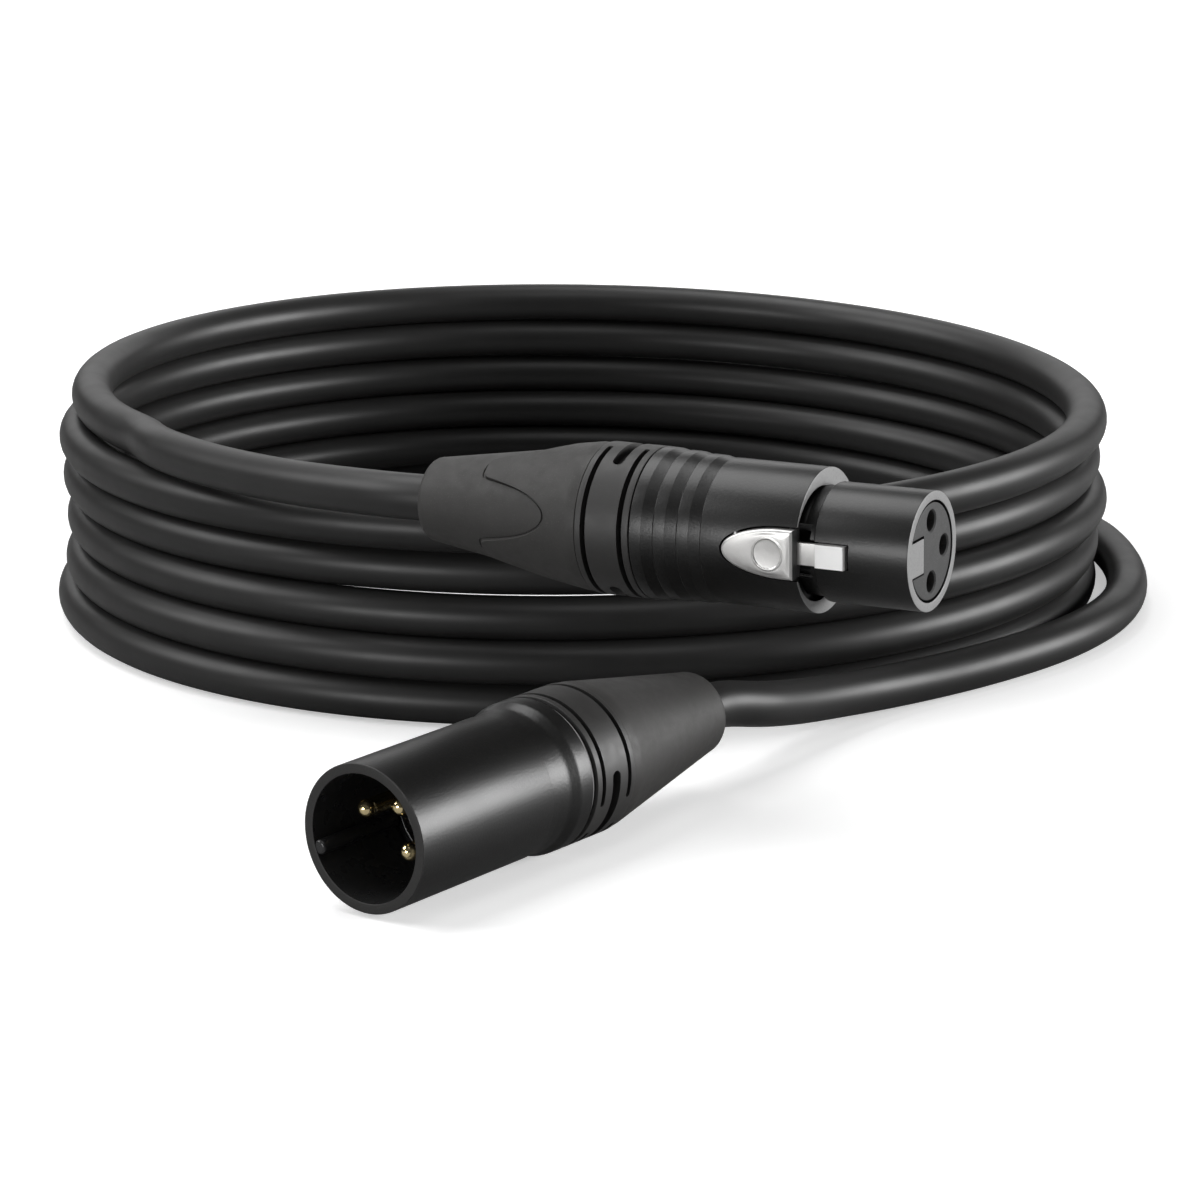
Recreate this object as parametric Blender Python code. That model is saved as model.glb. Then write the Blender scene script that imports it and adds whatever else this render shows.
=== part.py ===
"""A microphone cable with a 3-pole connector on each end, wound into a round coil.

Metres, +Z up.  The coil lies flat on the ground plane z = 0.  The socket connector, with its latch,
sits at the top of the coil's front.  The pin connector lies on the ground in front of it.
Each connector is drawn along its own +Z axis, from the mouth of its boot at 0 to its mating face,
and hangs on an empty that puts that axis where it lies.
"""
import math

import bmesh
import bpy
from mathutils import Matrix, Vector

MM = 0.001

# ---------------------------------------------------------------- driving dimensions
GAP = 0.3 * MM                        # clearance that touching pieces keep
RUNNING_GAP = 0.08 * MM               # between the latch's pin and its holes

CABLE_D = 6.3 * MM
COIL_CENTRE = Vector((-4.0, 44.2, 0.0)) * MM
COIL_RADIUS = 76.7 * MM               # to the middle of the bundle
BUNDLE_WIDTH = 6.4 * MM               # of the bundle's section, across
BUNDLE_HEIGHT = 37.6 * MM             # of six turns that lie one on another

# the socket connector: where its boot's mouth is, and how far its axis is turned towards -Y
SOCKET_MOUTH = Vector((-23.5, -52.1, 37.1)) * MM
SOCKET_YAW = math.radians(28.0)
# the pin connector lies on its gland: the centre of its mating rim, and its axis, turned towards -X
PIN_RIM = Vector((-30.75, -118.4, 10.15)) * MM
PIN_YAW = math.radians(52.4)
PIN_LENGTH = 68.0 * MM

BOOT_LENGTH = 26.5 * MM
BOOT_MOUTH_R = 5.6 * MM
BOOT_WIDE_R = 9.9 * MM
BOOT_BORE_R = CABLE_D / 2 + GAP
GLAND_LENGTH = 7.9 * MM
GLAND_R = 10.1 * MM
GLAND_BORE_R = 6.4 * MM
REAR_BORE_R = 7.6 * MM                # of both housings, behind their inserts
BARREL_R = 9.5 * MM
STRIPPED = BOOT_LENGTH + 6.0 * MM     # where the jacket ends inside the gland
WIRE_START_GAP = 0.6 * MM
WIRE_R = 0.7 * MM
SOLDER_CUP_R = 0.75 * MM              # the bore at the back of each contact and pin
POLE_CIRCLE_R = 4.0 * MM              # of the three contacts' axes

# socket connector, measured along its axis from the boot's mouth
SOCKET_LENGTH = 72.7 * MM
HOUSING_START = BOOT_LENGTH + GLAND_LENGTH
SHOULDER = 57.9 * MM                  # where the barrel ends and the nose begins
RIB_END = 44.4 * MM
NECK_END = 59.65 * MM
NECK_R = 7.2 * MM
NOSE_R = 7.8 * MM
NOSE_BORE_R = 6.6 * MM
KEY_DEPTH = 4.0 * MM
KEY_WIDTH = 4.5 * MM
KEY_LENGTH = 6.7 * MM
SOCKET_ANGLES = (90.0, 180.0, 270.0)
CONTACT_R = 1.45 * MM
CONTACT_HOLE_R = 1.35 * MM            # the hole that a pin enters

# the latch: a push tab on the barrel whose hook stands in a window of the nose
LATCH_PIVOT = Vector((8.35, 0.0, 49.1)) * MM
LATCH_TIP = 47.5 * MM
TAB_WIDTH = 6.5 * MM
TAB_TOP = 10.0 * MM
TAB_THICKNESS = 1.7 * MM
TAB_ROUNDED = 0.85                    # how much of the tab's length its round end takes
BUTTON_FROM_TIP = 6.2 * MM            # the raised disc's middle, from the tab's round tip
HOOK_START = 60.2 * MM
HOOK_END = 64.3 * MM
HOOK_WIDTH = 3.05 * MM
HOOK_TOP = 8.55 * MM
PIVOT_PIN_R = 0.5 * MM
PIVOT_PIN_HALF = 2.8 * MM             # half its length, so that it ends inside the barrel's wall

# pin connector, measured along its axis from the boot's mouth
WAIST_END = 42.6 * MM
CUP_R = 8.2 * MM
CUP_DEPTH = 14.5 * MM
INSERT_BACK = 13.0 * MM               # how far the insert reaches behind the cup's floor
PIN_BACK = 16.5 * MM                  # how far the pins' solder cups do
PIN_R = 1.2 * MM
PIN_RECESS = 3.5 * MM                 # of the pins' tips, behind the rim
PIN_ANGLES = (32.7, 122.7, 212.7)
KEY_RIB_ANGLE = -18.3
KEY_RIB_R = 0.95 * MM

SEGMENTS = 48                         # around a connector
FINE_SEGMENTS = 20                    # around a contact or a pin
COIL_SEGMENTS = 72

# the cable's route from each boot to the coil, in millimetres, after the straight stretch in the boot
SOCKET_LEAD = [(-28.6, -49.3, 36.95), (-34.4, -44.6, 36.6), (-40.1, -39.1, 36.1),
               (-45.8, -32.9, 35.6), (-50.4, -27.6, 35.2)]
PIN_LEAD = [(14.1, -60.1, 10.1), (19.3, -55.0, 8.4), (25.2, -46.6, 6.3), (31.3, -38.4, 4.8),
            (37.5, -31.5, 3.8), (43.9, -25.6, 3.3), (50.6, -20.2, 3.2), (56.6, -14.9, 3.2),
            (63.2, -8.2, 3.2), (69.2, -0.6, 3.2), (74.8, 9.2, 3.2), (78.6, 20.0, 3.2),
            (80.5, 31.5, 3.2), (80.8, 43.0, 3.2), (79.8, 54.5, 3.2), (78.2, 61.5, 3.2)]


# ---------------------------------------------------------------- materials
def principled(name, colour, roughness, metallic=0.0):
    material = bpy.data.materials.new(name)
    material.use_nodes = True
    shader = material.node_tree.nodes["Principled BSDF"]
    shader.inputs["Base Color"].default_value = (*colour, 1.0)
    shader.inputs["Roughness"].default_value = roughness
    shader.inputs["Metallic"].default_value = metallic
    material.diffuse_color = (*colour, 1.0)
    return material


def make_materials():
    return {
        "cable_jacket": principled("cable_jacket", (0.022, 0.022, 0.023), 0.45),
        "boot_rubber": principled("boot_rubber", (0.055, 0.052, 0.050), 0.62),
        "gland_plastic": principled("gland_plastic", (0.050, 0.048, 0.046), 0.50),
        "black_housing": principled("black_housing", (0.020, 0.020, 0.020), 0.32),
        "insert_grey": principled("insert_grey", (0.13, 0.13, 0.13), 0.50),
        "insert_black": principled("insert_black", (0.015, 0.015, 0.016), 0.25),
        "latch_metal": principled("latch_metal", (0.62, 0.61, 0.59), 0.28, 1.0),
        "spring_steel": principled("spring_steel", (0.55, 0.55, 0.56), 0.30, 1.0),
        "gold_plate": principled("gold_plate", (0.83, 0.58, 0.22), 0.22, 1.0),
        "clamp_plastic": principled("clamp_plastic", (0.50, 0.50, 0.48), 0.50),
        "wire_red": principled("wire_red", (0.50, 0.03, 0.02), 0.45),
        "wire_white": principled("wire_white", (0.75, 0.74, 0.70), 0.45),
        "wire_bare": principled("wire_bare", (0.72, 0.42, 0.25), 0.35, 1.0),
    }


# ---------------------------------------------------------------- building shapes
def new_object(name, mesh, parent, material=None):
    thing = bpy.data.objects.new(name, mesh)
    bpy.context.scene.collection.objects.link(thing)
    thing.parent = parent
    if material:
        mesh.materials.append(material)
    return thing


def finish_mesh(name, bm, smooth_angle=35.0):
    bmesh.ops.recalc_face_normals(bm, faces=bm.faces)
    mesh = bpy.data.meshes.new(name)
    bm.to_mesh(mesh)
    bm.free()
    mesh.shade_smooth()
    mesh.set_sharp_from_angle(angle=math.radians(smooth_angle))
    return mesh


def cap(bm, lower, upper):
    """Closes a ring against a point on the axis: flat as one face, or as a cone of triangles."""
    ring, point = (lower, upper[0]) if len(upper) == 1 else (upper, lower[0])
    if abs(ring[0].co.z - point.co.z) < 1e-9:
        bm.faces.new(ring)
        return
    for i, corner in enumerate(ring):
        bm.faces.new((corner, ring[(i + 1) % len(ring)], point))


def turned(name, outline, parent, material=None, segments=SEGMENTS, centre=(0.0, 0.0)):
    """A body of revolution about an axis parallel to Z: outline is a closed loop of (radius, height)."""
    bm = bmesh.new()
    rings = []
    for radius, height in outline:
        if radius < 1e-9:
            rings.append([bm.verts.new((centre[0], centre[1], height))])
            continue
        ring = []
        for i in range(segments):
            a = 2 * math.pi * i / segments
            x, y = centre[0] + radius * math.cos(a), centre[1] + radius * math.sin(a)
            ring.append(bm.verts.new((x, y, height)))
        rings.append(ring)
    for lower, upper in zip(rings, rings[1:] + rings[:1]):
        if len(lower) == 1 and len(upper) == 1:
            continue
        if len(lower) == 1 or len(upper) == 1:
            cap(bm, lower, upper)
            continue
        for i in range(segments):
            j = (i + 1) % segments
            bm.faces.new((lower[i], lower[j], upper[j], upper[i]))
    bmesh.ops.delete(bm, geom=[v for v in bm.verts if not v.link_faces], context="VERTS")
    return new_object(name, finish_mesh(name, bm), parent, material)


def extruded(name, outline, low, high, parent, material=None, along="X"):
    """A prism from low to high along an axis: outline is a closed loop of points across that axis."""
    def place(u, v, w):
        return {"X": (w, u, v), "Y": (u, w, v), "Z": (u, v, w)}[along]

    bm = bmesh.new()
    bottom = [bm.verts.new(place(u, v, low)) for u, v in outline]
    top = [bm.verts.new(place(u, v, high)) for u, v in outline]
    bm.faces.new(bottom)
    bm.faces.new(list(reversed(top)))
    for i in range(len(outline)):
        j = (i + 1) % len(outline)
        bm.faces.new((bottom[i], top[i], top[j], bottom[j]))
    return new_object(name, finish_mesh(name, bm), parent, material)


def block(name, low, high, parent, material=None):
    """A box between two corners."""
    outline = [(low[0], low[1]), (high[0], low[1]), (high[0], high[1]), (low[0], high[1])]
    return extruded(name, outline, low[2], high[2], parent, material, along="Z")


def disc_outline(radius, centre, count, start=0.0, sweep=360.0):
    """Points on a circle, or on an arc of it with both ends."""
    steps = count if sweep >= 360.0 else count - 1
    return [(centre[0] + radius * math.cos(math.radians(start + sweep * i / steps)),
             centre[1] + radius * math.sin(math.radians(start + sweep * i / steps))) for i in range(count)]


def cutter(thing):
    thing.hide_render = True
    thing.display_type = "WIRE"
    return thing


def boolean(target, tool, operation="DIFFERENCE"):
    modifier = target.modifiers.new(tool.name, "BOOLEAN")
    modifier.solver = "EXACT"
    modifier.operation = operation
    modifier.object = cutter(tool)


def sleeve_outline(r_in, r_out, low, high):
    """The (radius, height) outline of a plain tube."""
    return [(r_in, low), (r_out, low), (r_out, high), (r_in, high)]


def arc_slot(name, r_in, r_out, height, width, middle, sweep, parent):
    """A cutter for a slot that runs part of the way round, with round ends."""
    count = max(8, int(sweep / 8))
    half, middle_r = width / 2, (r_in + r_out) / 2
    outline = []
    for i in range(count + 1):
        outline.append((middle - sweep / 2 + sweep * i / count, height - half))
    end_sweep = math.degrees(half / middle_r)
    outline.append((middle + sweep / 2 + end_sweep * 0.7, height - half * 0.7))
    outline.append((middle + sweep / 2 + end_sweep, height))
    outline.append((middle + sweep / 2 + end_sweep * 0.7, height + half * 0.7))
    for i in range(count, -1, -1):
        outline.append((middle - sweep / 2 + sweep * i / count, height + half))
    outline.append((middle - sweep / 2 - end_sweep * 0.7, height + half * 0.7))
    outline.append((middle - sweep / 2 - end_sweep, height))
    outline.append((middle - sweep / 2 - end_sweep * 0.7, height - half * 0.7))
    bm = bmesh.new()
    walls = []
    for radius in (r_in, r_out):
        wall = []
        for angle, z in outline:
            a = math.radians(angle)
            wall.append(bm.verts.new((radius * math.cos(a), radius * math.sin(a), z)))
        walls.append(wall)
    for i in range(len(outline)):
        j = (i + 1) % len(outline)
        bm.faces.new((walls[0][i], walls[0][j], walls[1][j], walls[1][i]))
    lower, upper = list(range(count + 1)), list(range(count + 4, 2 * count + 5))
    upper.reverse()
    for wall in walls:
        for i in range(count):
            bm.faces.new((wall[lower[i]], wall[lower[i + 1]], wall[upper[i + 1]], wall[upper[i]]))
        bm.faces.new([wall[k] for k in (count, count + 1, count + 2, count + 3, count + 4)])
        bm.faces.new([wall[k] for k in (2 * count + 4, 2 * count + 5, 2 * count + 6, 2 * count + 7, 0)])
    return new_object(name, finish_mesh(name, bm), parent)


# ---------------------------------------------------------------- the connectors' frames
def axis_frame(name, origin, direction):
    """An empty whose +Z is the connector's axis and whose +Y points down, so +X is level."""
    z_axis = direction.normalized()
    x_axis = z_axis.cross(Vector((0, 0, 1))).normalized()
    y_axis = z_axis.cross(x_axis)
    empty = bpy.data.objects.new(name, None)
    bpy.context.scene.collection.objects.link(empty)
    empty.matrix_world = Matrix.Translation(origin) @ Matrix((x_axis, y_axis, z_axis)).transposed().to_4x4()
    return empty


def socket_direction():
    return Vector((math.cos(SOCKET_YAW), -math.sin(SOCKET_YAW), 0.0))


def pin_direction():
    return Vector((-math.cos(PIN_YAW), -math.sin(PIN_YAW), 0.0))


# ---------------------------------------------------------------- pieces that both connectors have
def boot(name, frame, material):
    """The tapered rubber sleeve, with a rounded mouth."""
    lip = 1.2 * MM
    outline = [(BOOT_BORE_R, 0.0), (BOOT_MOUTH_R - lip, 0.0)]
    outline += [(BOOT_MOUTH_R - lip + lip * math.sin(a), lip - lip * math.cos(a))
                for a in (math.radians(30), math.radians(60), math.radians(90))]
    outline += [(BOOT_WIDE_R, BOOT_LENGTH - 1.6 * MM), (BOOT_WIDE_R, BOOT_LENGTH - GAP),
                (BOOT_BORE_R + 2.6 * MM, BOOT_LENGTH - GAP), (BOOT_BORE_R, BOOT_LENGTH - 5 * MM)]
    return turned(name, outline, frame, material)


def gland(name, frame, material, facing):
    """The slotted ring nut: two fine slots round each flank, and a wide one above and below."""
    top = HOUSING_START - GAP
    ring = turned(name, sleeve_outline(GLAND_BORE_R, GLAND_R, BOOT_LENGTH, top), frame, material)
    from_edge, slot_floor, slot_rim = 1.15 * MM, GLAND_R - 1.3 * MM, GLAND_R + MM
    slots = []
    for side in (0, 180):
        for height in (BOOT_LENGTH + from_edge, top - from_edge):
            slots.append((height, 0.75 * MM, facing + side, 150))
        slots.append(((BOOT_LENGTH + top) / 2, 1.6 * MM, facing + 90 + side, 65))
    for number, (height, width, middle, sweep) in enumerate(slots):
        tool = arc_slot(f"{name}_slot_{number}", slot_floor, slot_rim, height, width, middle, sweep, frame)
        boolean(ring, tool)


def chuck(name, frame, material):
    """The slit collet that the gland squeezes onto the cable."""
    low, high = BOOT_LENGTH - 3.5 * MM, BOOT_LENGTH + 6.8 * MM
    r_in, r_out, taper, slit_half = BOOT_BORE_R, 5.9 * MM, 6 * MM, 0.5 * MM
    outline = [(r_in, low), (r_out - 1.6 * MM, low), (r_out, low + taper), (r_out, high), (r_in, high)]
    sleeve = turned(name, outline, frame, material, segments=32)
    for number in range(2):
        slit = block(f"{name}_slit_{number}", (-8 * MM, -slit_half, low - MM),
                     (8 * MM, slit_half, low + taper + MM), frame)
        slit.rotation_euler.z = math.radians(90 * number + 45)
        boolean(sleeve, slit)


def pole_point(angle, height):
    """A point on the contacts' circle.  Angles turn from the level axis +X towards up, which is -Y here."""
    a = math.radians(angle)
    return Vector((POLE_CIRCLE_R * math.cos(a), -POLE_CIRCLE_R * math.sin(a), height))


def conductor(name, frame, material, angle, top):
    """One insulated wire, from the cable's cut end in the collet out to its contact."""
    spread_in_cable, steps = 1.5 * MM, 8
    end = pole_point(angle, top)
    points = []
    for i in range(steps + 1):
        t = i / steps
        ease = t * t * (3 - 2 * t)
        widening = (spread_in_cable + (POLE_CIRCLE_R - spread_in_cable) * ease) / POLE_CIRCLE_R
        height = STRIPPED + WIRE_START_GAP + (end.z - STRIPPED - WIRE_START_GAP) * t
        points.append(Vector((end.x * widening, end.y * widening, height)))
    wire = tube(name, points, WIRE_R, 2, material)
    wire.parent = frame


def tube(name, points, radius, resolution, material):
    """A solid round bar along the points, with its ends closed."""
    curve = bpy.data.curves.new(name, "CURVE")
    curve.dimensions = "3D"
    curve.bevel_depth = radius
    curve.bevel_resolution = resolution
    curve.render_resolution_u = 0
    curve.use_fill_caps = True
    spline = curve.splines.new("POLY")
    spline.points.add(len(points) - 1)
    for target, point in zip(spline.points, points):
        target.co = (*point, 1.0)
    curve.materials.append(material)
    thing = bpy.data.objects.new(name, curve)
    bpy.context.scene.collection.objects.link(thing)
    return thing


# ---------------------------------------------------------------- the socket connector
def socket_housing(frame, material):
    """Die-cast shell: three shallow ribs, the barrel, a narrow neck, then the nose with its key."""
    outline = [(REAR_BORE_R, HOUSING_START)]
    ribs, rib_step, rib_chamfer = 3, 0.2 * MM, 0.12 * MM
    rib_length = (RIB_END - HOUSING_START) / ribs
    for k in range(ribs):
        crest, start = GLAND_R - k * rib_step, HOUSING_START + k * rib_length
        outline.append((crest - rib_chamfer, start))
        outline.append((crest, start + 3 * rib_chamfer))
        outline.append((crest - rib_step / 4, start + rib_length))
    outline += [(BARREL_R, RIB_END), (BARREL_R, SHOULDER - 0.3 * MM), (BARREL_R - 0.3 * MM, SHOULDER),
                (NECK_R, SHOULDER), (NECK_R, NECK_END), (NOSE_R - 0.25 * MM, NECK_END),
                (NOSE_R, NECK_END + 0.25 * MM), (NOSE_R, SOCKET_LENGTH - 0.2 * MM),
                (NOSE_R - 0.2 * MM, SOCKET_LENGTH), (NOSE_BORE_R, SOCKET_LENGTH), (NOSE_BORE_R, RIB_END),
                (REAR_BORE_R, RIB_END - 1.5 * MM)]
    shell = turned("female_housing", outline, frame, material)
    key = block("key_stock", (NOSE_BORE_R - KEY_DEPTH, -KEY_WIDTH / 2, SOCKET_LENGTH - KEY_LENGTH),
                (NOSE_BORE_R + 0.6 * MM, KEY_WIDTH / 2, SOCKET_LENGTH), frame)
    boolean(shell, key, "UNION")
    boolean(shell, tab_window(frame))
    hook_gap = GAP + HOOK_WIDTH / 2
    boolean(shell, block("hook_window", (5 * MM, -hook_gap, SHOULDER - MM),
                         (10.5 * MM, hook_gap, HOOK_END + GAP * 2), frame))
    hole_outline = disc_outline(PIVOT_PIN_R + RUNNING_GAP, (LATCH_PIVOT.x, LATCH_PIVOT.z), 16)
    reach = PIVOT_PIN_HALF + RUNNING_GAP
    hole = extruded("pivot_hole", hole_outline, -reach, reach, frame, along="Y")
    boolean(shell, hole)


def spade(grow):
    """The tab's outline from outside, as (across, along): half an ellipse from its tip, then a square front."""
    half, front, tip = TAB_WIDTH / 2 + grow, SHOULDER - GAP + grow, LATCH_TIP - grow
    widest = LATCH_TIP + TAB_ROUNDED * (SHOULDER - GAP - LATCH_TIP)
    steps = 18
    rounded = []
    for i in range(steps + 1):
        a = math.pi * i / steps
        rounded.append((-half * math.cos(a), widest - (widest - tip) * math.sin(a)))
    return [(-half, front)] + rounded + [(half, front)]


def tab_window(frame):
    """The opening in the barrel that the tab sits in, through the wall."""
    window = spade(GAP)
    window[0] = (window[0][0], SHOULDER + MM)
    window[-1] = (window[-1][0], SHOULDER + MM)
    return extruded("tab_window", window, NOSE_BORE_R - 0.8 * MM, 12 * MM, frame, along="X")


def latch_lever(pivot, material):
    """Tab, neck and hook in one piece.  Its origin is on the pivot, so it is drawn relative to that."""
    def local(outline):
        return [(u, z - LATCH_PIVOT.z) for u, z in outline]

    top, under = TAB_TOP - LATCH_PIVOT.x, TAB_TOP - TAB_THICKNESS - LATCH_PIVOT.x
    lever = extruded("latch_lever", local(spade(0.0)), under, top, pivot, material, along="X")
    half = HOOK_WIDTH / 2
    neck = block("neck_stock", (7.5 * MM - LATCH_PIVOT.x, -half, SHOULDER - 2.5 * MM - LATCH_PIVOT.z),
                 (8.5 * MM - LATCH_PIVOT.x, half, HOOK_START + 0.5 * MM - LATCH_PIVOT.z), pivot)
    side = [(7.0 * MM, HOOK_START), (HOOK_TOP, HOOK_START), (HOOK_TOP, HOOK_END - 0.8 * MM),
            (HOOK_TOP - 0.5 * MM, HOOK_END), (7.0 * MM, HOOK_END)]
    hook_outline = [(x - LATCH_PIVOT.x, z - LATCH_PIVOT.z) for x, z in side]
    hook = extruded("hook_stock", hook_outline, -half, half, pivot, along="Y")
    knuckle_outline, knuckle_half = disc_outline(1.35 * MM, (0.0, 0.0), 20), 1.2 * MM
    knuckle = extruded("knuckle_stock", knuckle_outline, -knuckle_half, knuckle_half, pivot, along="Y")
    button_r, button_top = 2.0 * MM, top + 0.22 * MM
    button_outline = [(0, top - GAP), (button_r, top - GAP), (button_r, button_top - 0.1 * MM),
                      (button_r - 0.15 * MM, button_top), (0, button_top)]
    button = turned("button_stock", button_outline, pivot, segments=24)
    button.rotation_euler.y = math.radians(90)
    button.location.z = LATCH_TIP + BUTTON_FROM_TIP - LATCH_PIVOT.z
    for stock in (neck, hook, knuckle, button):
        boolean(lever, stock, "UNION")
    eye_outline = disc_outline(PIVOT_PIN_R + RUNNING_GAP, (0.0, 0.0), 16)
    boolean(lever, extruded("pivot_eye", eye_outline, -half - MM, half + MM, pivot, along="Y"))


def latch_spring(frame, material):
    """A compression spring that stands in the insert's groove under the tab."""
    coils, wire_r, radius, per_turn = 4, 0.28 * MM, 1.35 * MM, 14
    low, high, height = 3.0 * MM, 6.9 * MM, 54.2 * MM
    points = []
    for i in range(coils * per_turn + 1):
        a = 2 * math.pi * i / per_turn
        points.append(Vector((low + (high - low) * i / (coils * per_turn), radius * math.cos(a),
                              height + radius * math.sin(a))))
    spring = tube("latch_spring", points, wire_r, 1, material)
    spring.parent = frame


def latch_pin(frame, material):
    outline = disc_outline(PIVOT_PIN_R, (LATCH_PIVOT.x, LATCH_PIVOT.z), 16)
    extruded("latch_pin", outline, -PIVOT_PIN_HALF, PIVOT_PIN_HALF, frame, material, along="Y")


def socket_insert(frame, material):
    """The contact carrier, grooved on the latch's side for the key, the hook and the spring."""
    radius, low, high = NOSE_BORE_R - GAP, RIB_END + 1.2 * MM, SOCKET_LENGTH - 0.1 * MM
    carrier = turned("female_insert", [(0, low), (radius, low), (radius, high), (0, high)], frame, material)
    groove = KEY_WIDTH / 2 + GAP
    boolean(carrier, block("key_groove", (NOSE_BORE_R - KEY_DEPTH - GAP, -groove, low - MM),
                           (8 * MM, groove, high + MM), frame))
    for number, angle in enumerate(SOCKET_ANGLES):
        x, y, _ = pole_point(angle, 0)
        outline = [(0, low - MM), (CONTACT_R + GAP, low - MM), (CONTACT_R + GAP, high - 2.6 * MM),
                   (CONTACT_HOLE_R, high - 2.6 * MM), (CONTACT_HOLE_R, high + MM), (0, high + MM)]
        way = turned(f"contact_way_{number}", outline, frame, segments=FINE_SEGMENTS, centre=(x, y))
        boolean(carrier, way)


def socket_contact(name, frame, material, angle):
    """A turned contact: a tube for the pin in front, a cup for the wire behind."""
    x, y, _ = pole_point(angle, 0)
    back, front = RIB_END - 3.2 * MM, SOCKET_LENGTH - 3.1 * MM
    cup_r, cup_length, pin_way_r, pin_way_length = 1.15 * MM, 6 * MM, 1.1 * MM, 12 * MM
    outline = [(0, back + 3 * MM), (SOLDER_CUP_R, back + 3 * MM), (SOLDER_CUP_R, back), (cup_r, back),
               (cup_r, back + cup_length), (CONTACT_R, back + cup_length), (CONTACT_R, front - 0.3 * MM),
               (CONTACT_R - 0.2 * MM, front), (pin_way_r, front), (pin_way_r, front - pin_way_length),
               (0, front - pin_way_length)]
    return turned(name, outline, frame, material, segments=FINE_SEGMENTS, centre=(x, y))


def make_socket_connector(m):
    frame = axis_frame("socket_axis", SOCKET_MOUTH, socket_direction())
    boot("female_boot", frame, m["boot_rubber"])
    gland("female_gland", frame, m["gland_plastic"], -5)
    chuck("female_chuck", frame, m["clamp_plastic"])
    socket_housing(frame, m["black_housing"])
    socket_insert(frame, m["insert_grey"])
    wires = (m["wire_red"], m["wire_bare"], m["wire_white"])
    for number, angle in enumerate(SOCKET_ANGLES, 1):
        socket_contact(f"female_contact_{number}", frame, m["gold_plate"], angle)
        conductor(f"female_wire_{number}", frame, wires[number - 1], angle, RIB_END - 3.2 * MM - GAP)
    latch_pin(frame, m["spring_steel"])
    latch_spring(frame, m["spring_steel"])
    pivot = bpy.data.objects.new("latch_pivot", None)
    bpy.context.scene.collection.objects.link(pivot)
    pivot.parent = frame
    pivot.location = LATCH_PIVOT
    latch_lever(pivot, m["latch_metal"])


# ---------------------------------------------------------------- the pin connector
def pin_housing(frame, material):
    """The shell: a flared waist behind a plain barrel that ends in a round cup with a key rib."""
    floor = PIN_LENGTH - CUP_DEPTH
    outline = [(REAR_BORE_R, HOUSING_START), (GLAND_R - 0.5 * MM, HOUSING_START),
               (GLAND_R + 0.05 * MM, HOUSING_START + MM), (GLAND_R - 0.3 * MM, HOUSING_START + 3.5 * MM),
               (BARREL_R - 0.3 * MM, WAIST_END - 1.3 * MM), (BARREL_R, WAIST_END),
               (BARREL_R, PIN_LENGTH - 0.15 * MM), (BARREL_R - 0.15 * MM, PIN_LENGTH), (CUP_R, PIN_LENGTH),
               (CUP_R, floor - INSERT_BACK - MM), (REAR_BORE_R, floor - INSERT_BACK - 2.5 * MM)]
    shell = turned("male_housing", outline, frame, material)
    a, middle_r = math.radians(KEY_RIB_ANGLE), CUP_R - 0.45 * MM
    middle = (middle_r * math.cos(a), -middle_r * math.sin(a))
    rib_outline = [(0, floor + GAP), (KEY_RIB_R, floor + GAP), (KEY_RIB_R, PIN_LENGTH - 1.6 * MM),
                   (KEY_RIB_R * 0.7, PIN_LENGTH - 0.95 * MM), (0, PIN_LENGTH - 0.7 * MM)]
    rib = turned("rib_stock", rib_outline, frame, segments=12, centre=middle)
    boolean(shell, rib, "UNION")


def pin_insert(frame, material):
    """The pin carrier, at the bottom of the cup, with a low ridge round its face."""
    radius, face = CUP_R - GAP, PIN_LENGTH - CUP_DEPTH
    outline = [(0, face - INSERT_BACK), (radius, face - INSERT_BACK), (radius, face - 0.6 * MM),
               (radius - 0.3 * MM, face - 0.2 * MM), (radius - 1.2 * MM, face - 0.2 * MM),
               (radius - 1.6 * MM, face - 0.9 * MM), (0, face - 0.9 * MM)]
    carrier = turned("male_insert", outline, frame, material)
    for number, angle in enumerate(PIN_ANGLES):
        x, y, _ = pole_point(angle, 0)
        way_r, back = PIN_R + GAP, face - INSERT_BACK - MM
        way = [(0, back), (way_r, back), (way_r, face + MM), (0, face + MM)]
        boolean(carrier, turned(f"pin_way_{number}", way, frame, segments=FINE_SEGMENTS, centre=(x, y)))


def contact_pin(name, frame, material, angle):
    """A round pin with a domed tip, and a solder cup behind."""
    x, y, _ = pole_point(angle, 0)
    tip, back = PIN_LENGTH - PIN_RECESS, PIN_LENGTH - CUP_DEPTH - PIN_BACK
    outline = [(0, back + 3 * MM), (SOLDER_CUP_R, back + 3 * MM), (SOLDER_CUP_R, back), (PIN_R, back)]
    outline += [(PIN_R * math.cos(math.radians(t)), tip - PIN_R + PIN_R * math.sin(math.radians(t)))
                for t in (0, 22.5, 45, 67.5)]
    outline.append((0, tip))
    return turned(name, outline, frame, material, segments=FINE_SEGMENTS, centre=(x, y))


def ground_spring(frame, material):
    """A curved spring plate on the cup's wall that touches the mating shell."""
    r_out, thickness, start, sweep = CUP_R - GAP, 0.45 * MM, 172.0, 36.0
    outer = disc_outline(r_out, (0, 0), 7, start, sweep)
    inner = disc_outline(r_out - thickness, (0, 0), 7, start, sweep)
    low = PIN_LENGTH - CUP_DEPTH + GAP
    extruded("male_ground_spring", outer + inner[::-1], low, low + 6 * MM, frame, material, along="Z")


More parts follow.
